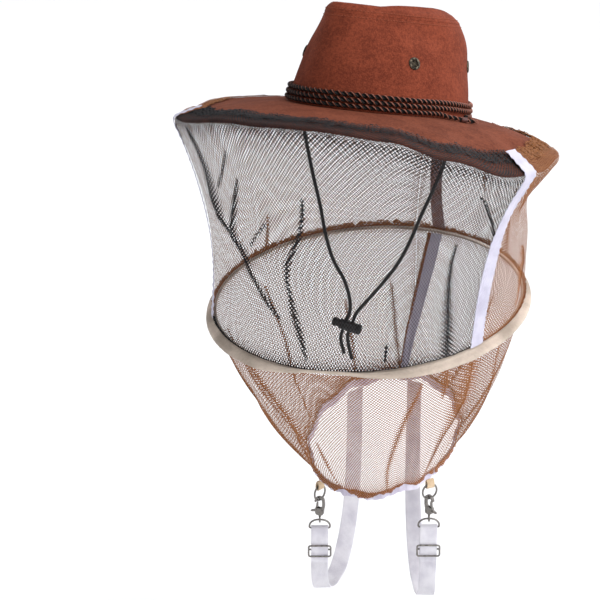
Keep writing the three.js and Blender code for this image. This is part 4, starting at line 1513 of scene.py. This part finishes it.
def raw_edge(seam, u, v):
    angle = seam + PANEL_SPAN * mix(0.01, 0.99, u)
    ragged = noise.noise(around(angle, 42, 2)) + 0.6 * noise.noise(around(angle, 110, 5))
    full = 1 + 2 * bump(angle, 215, 60)
    out = mix(-0.6, 1.9 * full + 1.2 * ragged, v)
    return hoop_point(angle, NET_FOOT + out, 1.6 + 1.3 * full * v * (0.8 + ragged) + 0.3 * math.sin(u * 900))


for name, seam, colour in PANELS:
    net_piece(f"seam_edge_{name}", (300, 4), (330, 5), colour, lambda u, v: raw_edge(seam, u, v),
              lambda u, v: 0.85, trim_of=f"veil_{name}_net")

# %% [markdown]
# ## The skirt and its hem
# Below the hoop the brown net is drawn in to half its width by an elastic at the neck. The fullness shows as
# folds that start at the hem and die out towards the hoop.

# %% Three panels below the hoop


def skirt_place(angle, v, lift=NET_LIFT):
    push, rise, _ = fold_at(SKIRT_FOLDS, angle, v)
    top = hoop_point(angle + push, NET_FOOT + lift, -HOOP_THICK / 2 - 0.3)
    low = hem_point(angle + push, lift + 1.7, 4.2)
    p = top.lerp(low, v)
    middle = Vector((mix(HOOP_CENTRE.x, HEM_CENTRE.x, v), mix(HOOP_CENTRE.y, HEM_CENTRE.y, v), p.z))
    away = (p - middle).normalized()
    free = math.sin(math.pi * min(1, v))
    pleats = wrinkle(angle, v, 2.2 * v * v, 70, 4) * (1 - v**8)
    return p + away * (9 * free + wrinkle(angle, v, 3.2, 12, 1) * free + pleats + rise * free**0.5)


SKIRT_CUT = (325, 175)


def skirt_dense(angle, v):
    _, _, dense = fold_at(SKIRT_FOLDS, angle, v)
    ends = math.exp(-(1 - v) * 22) * 0.6 + math.exp(-v * 40) * 0.4
    return max(dense * 0.95, ends)


for name, seam, _ in PANELS:
    net_piece(
        f"skirt_{name}_net", (300, 64), SKIRT_CUT, "brown",
        lambda u, v: skirt_place(seam + PANEL_SPAN * seam_share(u), v),
        lambda u, v: max(side_edge(u), skirt_dense(seam + PANEL_SPAN * u, v)),
        replaces=[f"skirt_{name}"], rests_on=["hoop_casing", "hem_elastic_band"],
    )

# %% Tape and seam allowance inside the skirt
ALLOWANCE = (0.88, 1.16)


def tape_below(angle, v, lift):
    return skirt_place(angle, 0.97 * v, lift - 2 * TAPE_LIFT)


def allowance_below(angle, v, lift):
    return tape_below(angle, v, lift - 0.8)


sew_tape("tape_back_lower", 90, (15, 190), (12, 130),
         lambda u, v: tape_spot(SEAMS[2], u, v, tape_below, LEAN_BELOW), ["hoop_casing", "hem_elastic_band"])
net_piece("seam_allowance_back", (4, 90), (3, 190), "brown",
          lambda u, v: tape_spot(SEAMS[2], mix(*ALLOWANCE, u), v, allowance_below, LEAN_BELOW),
          lambda u, v: 0.9, trim_of="skirt_left_net")

# %% Elastic and the net turned over it


def ruched_elastic(wire):
    u, v = across(wire)
    soil = smooth(speckle(wire, 80, 3), 0.3, 0.75)
    return {
        "Base Color": blend(wire, soil, srgb(230, 226, 240), srgb(196, 188, 208)),
        "Height": (ribs(u, 2.6) * 0.5 + speckle(wire, 800, 2) * 0.5, 0.0003),
    }


ELASTIC = finish("hem_elastic", ruched_elastic, Roughness=0.7, Sheen_Weight=0.3)


def ruffle(angle, size):
    return size * (0.35 * math.sin(math.radians(angle * 58)) + 1.5 * noise.noise(around(angle, 9, 2)))


def elastic_spot(u, v):
    angle, side = 360 * u, (v - 0.5) * 2
    wave = ruffle(angle, 0.9) * (0.35 + abs(side))
    return hem_point(angle, 0.7 + wave, side * (3.9 + 0.5 * noise.noise(around(angle, 16, side))))


elastic = cloth("hem_elastic_band", 420, 10, elastic_spot, (900, 8), 1.2, closed=True, centre=HEM_CENTRE * MM)
settle(elastic, ELASTIC, ["hem_elastic"], angle=70)
print("hem:", 2 * HEM_RADIUS, "mm across")


HEM_SHOWS = [(5, 48, 11), (4, 66, 5), (4, 2, 4), (3, 30, 4)]


def hem_cover(seam, u, v):
    angle = seam + PANEL_SPAN * mix(0.003, 0.997, u)
    drop = 0.9 + 4.5 * noise.noise(around(angle, 3.2, 7)) + 1.6 * noise.noise(around(angle, 14, 3))
    drop -= bumps(angle, HEM_SHOWS)
    wave = ruffle(angle + 0.8, 1.0) + 0.8 * noise.noise(around(angle, 40, v * 2))
    return hem_point(angle, 2.3 + wave * (0.5 + v * 0.8), mix(5.2, -drop, v))


for name, seam, _ in PANELS:
    net_piece(f"hem_cover_{name}", (260, 8), (330, 9), "brown", lambda u, v: hem_cover(seam, u, v),
              lambda u, v: 0.75, trim_of=f"skirt_{name}_net")

# %% [markdown]
# ## Arm straps
# Each strap hangs from the hem on a ribbon tab, a ring and a sprung clasp. The webbing runs through a wire
# ring, back down through a slider, under the arm and up to the hem behind. Wire parts are tubes round a
# closed path, flat parts are outlines that are filled, extruded and bevelled.

# %% Plated steel


def plated_steel(wire):
    cloud = speckle(wire, 260, 3)
    scratch = speckle(wire, 3000, 1)
    return {
        "Base Color": blend(wire, cloud, srgb(84, 80, 76), srgb(150, 146, 142)),
        "Roughness": smooth(cloud, 0.3, 0.7) * 0.18 + 0.2,
        "Height": (scratch, 0.00003),
    }


STEEL = finish("steel", plated_steel, Metallic=0.95)

# %% Ribbon and webbing


def ribbon(wire):
    u, v = across(wire)
    tone = speckle(wire, 300, 3)
    return {
        "Base Color": blend(wire, tone, srgb(188, 158, 122), srgb(226, 202, 168)),
        "Height": (ribs(v, 0.7) * 0.5 + tone, 0.00015),
    }


def elastic_webbing(wire):
    u, v = across(wire)
    warp, weft = ribs(u, 1.25), ribs(v, 0.7)
    soil = smooth(speckle(wire, 45, 3), 0.35, 0.75)
    colour = blend(wire, soil, srgb(232, 230, 236), srgb(205, 202, 212))
    height = warp * 0.6 + warp * weft * 0.4 + speckle(wire, 900, 2) * 0.4
    return {"Base Color": colour, "Height": (height, 0.0002)}


RIBBON = finish("ribbon", ribbon, Roughness=0.7, Sheen_Weight=0.2)
WEBBING = finish("webbing", elastic_webbing, Roughness=0.65, Sheen_Weight=0.25)

# %% Places of the hardware
STRAPS = {
    "right": {"front": -25, "back": -124, "ring": 83, "hook": 193, "face": 35, "back_face": 56, "drop": 0},
    "left": {"front": 70.5, "back": 187, "ring": 60, "hook": -10, "face": 35, "back_face": 0, "drop": 3},
}
RING_RADIUS, RING_WIRE, RING_SPLIT = 8, 1, 0.35
STRAP_WIDTH, STRAP_THICK, STRAP_WRAP, STRAP_LAP = 17.5, 1.4, 2, 42
HALF_WEBBING = 0.65
LOOP_HALF, LOOP_HALF_HEIGHT, LOOP_CORNER, LOOP_ARCH, LOOP_WIRE = 10.6, 4.6, 1.5, (9.2, 7.2), 0.95
SLIDER_HALF, SLIDER_HALF_HEIGHT, SLIDER_CORNER, SLIDER_WIRE = 11.4, 6, 2, 0.9
SLIDER_AHEAD, SLIDER_BELOW = 3.95, 25
EYE_RADIUS, EYE_WIRE, EYE_BELOW = 3.1, 0.95, 13.2


def strap_place(strap):
    at = hem_point(strap["front"], 0, 0)
    foot = min(hem_point(strap["front"] + off, 0, -HEM_HALF).z for off in (-4, -2, 0, 2, 4))
    ring = foot - 13.9
    hook = ring - RING_RADIUS - 8.4
    return {"x": at.x, "y": at.y, "foot": foot, "ring": ring, "hook": hook, "loop": hook - 18.65}


def hang(piece, node, place, z, turn, material, angle, body="hat"):
    """Stand a part modelled at the origin at its height, turned in plan, and finish it."""
    matrix = Matrix.Rotation(math.radians(turn), 3, "Z")
    place_by(piece, matrix, Vector((place["x"], place["y"], z)))
    settle(piece, material, [node], body, angle)


# %% Flat parts


def plate(name, outline, thick, edge):
    """A filled outline in X and Z, extruded across Y and bevelled."""
    deselect()
    bpy.ops.mesh.primitive_circle_add(vertices=len(outline), fill_type="NGON")
    piece = added(name)
    for vertex, (x, z) in zip(piece.data.vertices, outline):
        vertex.co = Vector((x, -thick / 2, z)) * MM
    push = {"TRANSFORM_OT_translate": {"value": (0, thick * MM, 0)}}
    in_edit(
        piece,
        (bpy.ops.mesh.extrude_region_move, push),
        (bpy.ops.mesh.select_all, {"action": "SELECT"}),
        (bpy.ops.mesh.normals_make_consistent, {"inside": False}),
    )
    bevelled(piece, edge, angle=30)
    return piece


def rounded(outline):
    """A closed outline with smooth corners, three points for each one given."""
    fine = []
    for i in range(len(outline)):
        near = [Vector(outline[(i + k) % len(outline)]) for k in (-1, 0, 1, 2)]
        fine.extend(spline_point(*near, k / 3) for k in range(3))
    return [(p.x, p.y) for p in fine]


# %% Wire parts


def wire_ring(radius, wire, around_ring, around_wire, at=(0, 0, 0), turn=(math.pi / 2, 0, 0)):
    """A ring of round wire that stands upright."""
    deselect()
    bpy.ops.mesh.primitive_torus_add(major_radius=radius * MM, minor_radius=wire * MM,
                                     major_segments=around_ring, minor_segments=around_wire,
                                     location=Vector(at) * MM, rotation=turn)
    bake_place()
    return bpy.context.object


def wire_frame(name, half, half_height, corner, wire, top=None):
    """A closed wire with round corners; top gives wider and higher ones, for an arch."""
    corners = [(1, 1, 0), (-1, 1, 90), (-1, -1, 180), (1, -1, 270)]
    route = []
    for sx, sz, start in corners:
        wide, high = top if top and sz > 0 else (corner, corner)
        for turn in range(0, 91, 10):
            a = math.radians(start + turn)
            x, z = sx * (half - wide) + wide * math.cos(a), sz * (half_height - high) + high * math.sin(a)
            route.append((Vector((x, 0, z)), Vector((0, 1, 0)), wire))
    return tube(name, [(route, True)], sides=14)


# %% Ribbon tab and ring
HALF_TAB = [(0.5, -0.6), (1.3, -2.4), (1.95, -4), (2.1, -5.6), (2.1, -8), (1.7, -9.2), (0.8, -9.75),
            (0, -9.85)]
TAB_WIDTH = 8


def tab_model(name):
    line = [Vector((x, 0, z)) for x, z in [*HALF_TAB, *((-x, z) for x, z in HALF_TAB[-2::-1])]]

    def place(u, v):
        p = along_points(line, v)
        return Vector((p.x, (u - 0.5) * TAB_WIDTH * (1 + 0.03 * math.sin(v * 20)), p.z))

    tab = cloth(name, 8, 56, place, (TAB_WIDTH, 22), centre=Vector((0, 0, -0.006)))
    add_wall(tab, 0.9, 0)
    tab.data.transform(Matrix.Rotation(math.radians(90), 4, "Z"))
    return tab


def ring_model(name):
    wire_ring(RING_RADIUS, RING_WIRE, 56, 14)
    ring = added(name)
    # The split where the wire's two ends meet
    for vertex in ring.data.vertices:
        if vertex.co.z > 0 and abs(vertex.co.x) < RING_SPLIT * MM:
            pinch = 1 - 0.16 * (1 - abs(vertex.co.x) / (RING_SPLIT * MM))
            centre = Vector((vertex.co.x, 0, RING_RADIUS * MM))
            vertex.co = centre + (vertex.co - centre) * pinch
    return ring


# %% Clasp hook and lever
HOOK_LINE = [(-3.4, -8), (3.2, -8), (3.2, -5.4), (0.2, -5), (-0.2, -0.4), (-2.6, 0.6), (-3, 5), (-2.5, 8.6),
             (-0.2, 9.9), (2, 9.2), (3.2, 7.2), (3.4, 5.9), (5.3, 5.9), (5.1, 8.4), (3.6, 11), (0, 12.3),
             (-3.6, 11.2), (-5.2, 8), (-5.5, 2), (-4.6, -3)]
CHEEK_LINE = [(-3.2, -8), (3.2, -8), (4.6, -4.6), (4.7, -2.2), (3, -0.6), (-1, -0.6), (-3.6, -3)]
LEVER_LINE = [(1.4, -3.6), (3.3, -4.5), (6.5, -5.6), (9.3, -5.8), (9.7, -4.5), (6.9, -3.5), (4.9, -2),
              (4.1, 0.4), (3.1, 5.6), (1.9, 5.5), (1.6, 0.4), (1.2, -1.6)]
NECK = [(0, -10.6), (1.2, -10.6), (1.25, -9.4), (1.7, -9), (1.7, -8.6), (1.25, -8.2), (1.25, -7.6),
        (0, -7.6)]
PIVOT = (2.9, -2.6)


def hook_model(name, eye_turn):
    body = plate(name, rounded(HOOK_LINE), 3, 0.7)
    cheeks = []
    for side in (-1, 1):
        cheek = plate(f"{name}_cheek", rounded(CHEEK_LINE), 0.7, 0.18)
        cheek.data.transform(Matrix.Translation(Vector((0, side * 1.8, 0)) * MM))
        cheeks.append(cheek)
    pin = cylinder(0.75, 4.9, (PIVOT[0], 0, PIVOT[1]), (math.pi / 2, 0, 0), 20)
    bevelled(pin, 0.18, segments=2)
    neck = profile_spin(f"{name}_neck", NECK, steps=20)
    eye_stands = (0, math.pi / 2, math.radians(eye_turn))
    eye = wire_ring(EYE_RADIUS, EYE_WIRE, 32, 12, (0, 0, -EYE_BELOW), eye_stands)
    return joined([body, *cheeks, pin, neck, eye], name)


def lever_model(name):
    return plate(name, rounded(LEVER_LINE), 2.1, 0.4)


# %% Slider: a frame bent forwards at its ends round a middle bar


def slider_model(name):
    frame_part = wire_frame(name, SLIDER_HALF, SLIDER_HALF_HEIGHT, SLIDER_CORNER, SLIDER_WIRE)
    frame_part.data.transform(Matrix.Translation(Vector((0, -SLIDER_AHEAD, 0)) * MM))
    end = [(SLIDER_HALF, -SLIDER_AHEAD), (SLIDER_HALF, -1.2), (SLIDER_HALF - 0.35, -0.35),
           (SLIDER_HALF - 1.2, 0)]
    bar = [Vector((x, y, 0)) for x, y in [*((-x, y) for x, y in end), *end[::-1]]]
    middle = tube(f"{name}_bar", [([(p, Vector((0, 0, 1)), SLIDER_WIRE) for p in bar], False)], sides=14)
    return joined([frame_part, middle], name)


# %% Webbing route
STRAP_LOOP = [(0, -478), (0.02, -493), (0.1, -505), (0.28, -511), (0.54, -507), (0.76, -486), (0.91, -452),
              (0.98, -412), (1, -362)]
LOOP_STEPS = 60


def strap_route(strap, place):
    bar = place["loop"] - LOOP_HALF_HEIGHT
    ahead = around(strap["face"], 1)

    def front(out, z):
        return Vector((place["x"], place["y"], z)) + ahead * out, strap["face"]

    route = [front(-STRAP_WRAP, bar - down) for down in (STRAP_LAP, 31, 20, 10, 4)]
    for a in range(0, 181, 20):
        turn = math.radians(a)
        route.append(front(-STRAP_WRAP * math.cos(turn), bar + STRAP_WRAP * math.sin(turn)))
    face = [front(STRAP_WRAP, bar - down) for down in (4, 12, 20, 29, STRAP_LAP - 4)]
    back = hem_point(strap["back"], 0, 0)
    turn = math.radians(strap["back_face"])
    slope = HEM_SLOPE[0] * math.cos(turn) + HEM_SLOPE[1] * math.sin(turn)
    level = slanted(HEM_CENTRE, HEM_SLOPE, back.x - HEM_CENTRE.x, back.y - HEM_CENTRE.y)
    end = Vector((back.x, back.y, level - HEM_HALF - FRILL_UP - HALF_WEBBING))
    free = [
        Vector((mix(place["x"], back.x, s), mix(place["y"], back.y, s), z + strap["drop"]))
        for s, z in STRAP_LOOP
    ]
    smooth_line = [face[-1][0], *free]
    loop = []
    for i in range(1, LOOP_STEPS + 1):
        t = i / LOOP_STEPS
        loop.append((along_points(smooth_line, t), mix(strap["face"], strap["back_face"], t * t)))
    rise = slope * STRAP_WIDTH / 2
    return [(p, f, 0) for p, f in route + face + loop] + [(end, strap["back_face"], rise)]


# %% Webbing


def webbing_model(name, route):
    ribbons = []
    for i, (at, face, rise) in enumerate(route):
        tangent = (route[min(len(route) - 1, i + 1)][0] - route[max(0, i - 1)][0]).normalized()
        side = Vector((math.cos(math.radians(face)), math.sin(math.radians(face)), 0))
        side = (side - tangent * side.dot(tangent)).normalized()
        ribbons.append((at, side, rise))
    count = len(route) - 1

    def place(u, v):
        at, side, rise = ribbons[min(count, round(v * count))]
        s = (u - 0.5) * 2
        return at + side * (s * STRAP_WIDTH / 2) + Vector((0, 0, s * rise))

    cut = (STRAP_WIDTH, length_of([at for at, _, _ in route]))
    piece = cloth(name, 8, count, place, cut, centre=Vector((0, 0, -0.4)))
    add_wall(piece, STRAP_THICK - 0.1, 0)
    bevelled(piece, 0.4, segments=2, angle=60)
    return piece


# %% Build both straps
for side, strap in STRAPS.items():
    place = strap_place(strap)
    tab = tab_model(f"hem_tab_{side}_ribbon")
    hang(tab, f"hem_tab_{side}", place, place["foot"], strap["ring"], RIBBON, 60)
    ring = ring_model(f"hem_ring_{side}_wire")
    hang(ring, f"hem_ring_{side}", place, place["ring"], strap["ring"], STEEL, 80)
    hook = hook_model(f"clasp_hook_{side}_cast", strap["face"] - strap["hook"])
    hang(hook, f"clasp_hook_{side}", place, place["hook"], strap["hook"], STEEL, 40)
    lever = lever_model(f"clasp_lever_{side}_cast")
    hang(lever, f"clasp_lever_{side}", place, place["hook"], strap["hook"], STEEL, 40,
         body=f"lever_{side}")
    loop = wire_frame(f"strap_ring_{side}_wire", LOOP_HALF, LOOP_HALF_HEIGHT, LOOP_CORNER, LOOP_WIRE,
                      top=LOOP_ARCH)
    hang(loop, f"strap_ring_{side}", place, place["loop"], strap["face"], STEEL, 80)
    slider = slider_model(f"strap_slider_{side}_wire")
    low = place["loop"] - LOOP_HALF_HEIGHT - SLIDER_BELOW
    hang(slider, f"strap_slider_{side}", place, low, strap["face"], STEEL, 80)
    route = strap_route(strap, place)
    webbing = webbing_model(f"strap_{side}_webbing", route)
    settle(webbing, WEBBING, [f"strap_{side}"], angle=50)
    strip = length_of([point for point, _, _ in route])
    print("strap", side, round(strip), "mm of webbing")

# %% [markdown]
# ## Sheets and the end
# The cut size of each sheet is turned into metres, and the number of sheets is printed.

for piece, (width, length), held, rests_on in sheets:
    flat = (width * MM, length * MM)
print("sheets:", len(sheets))
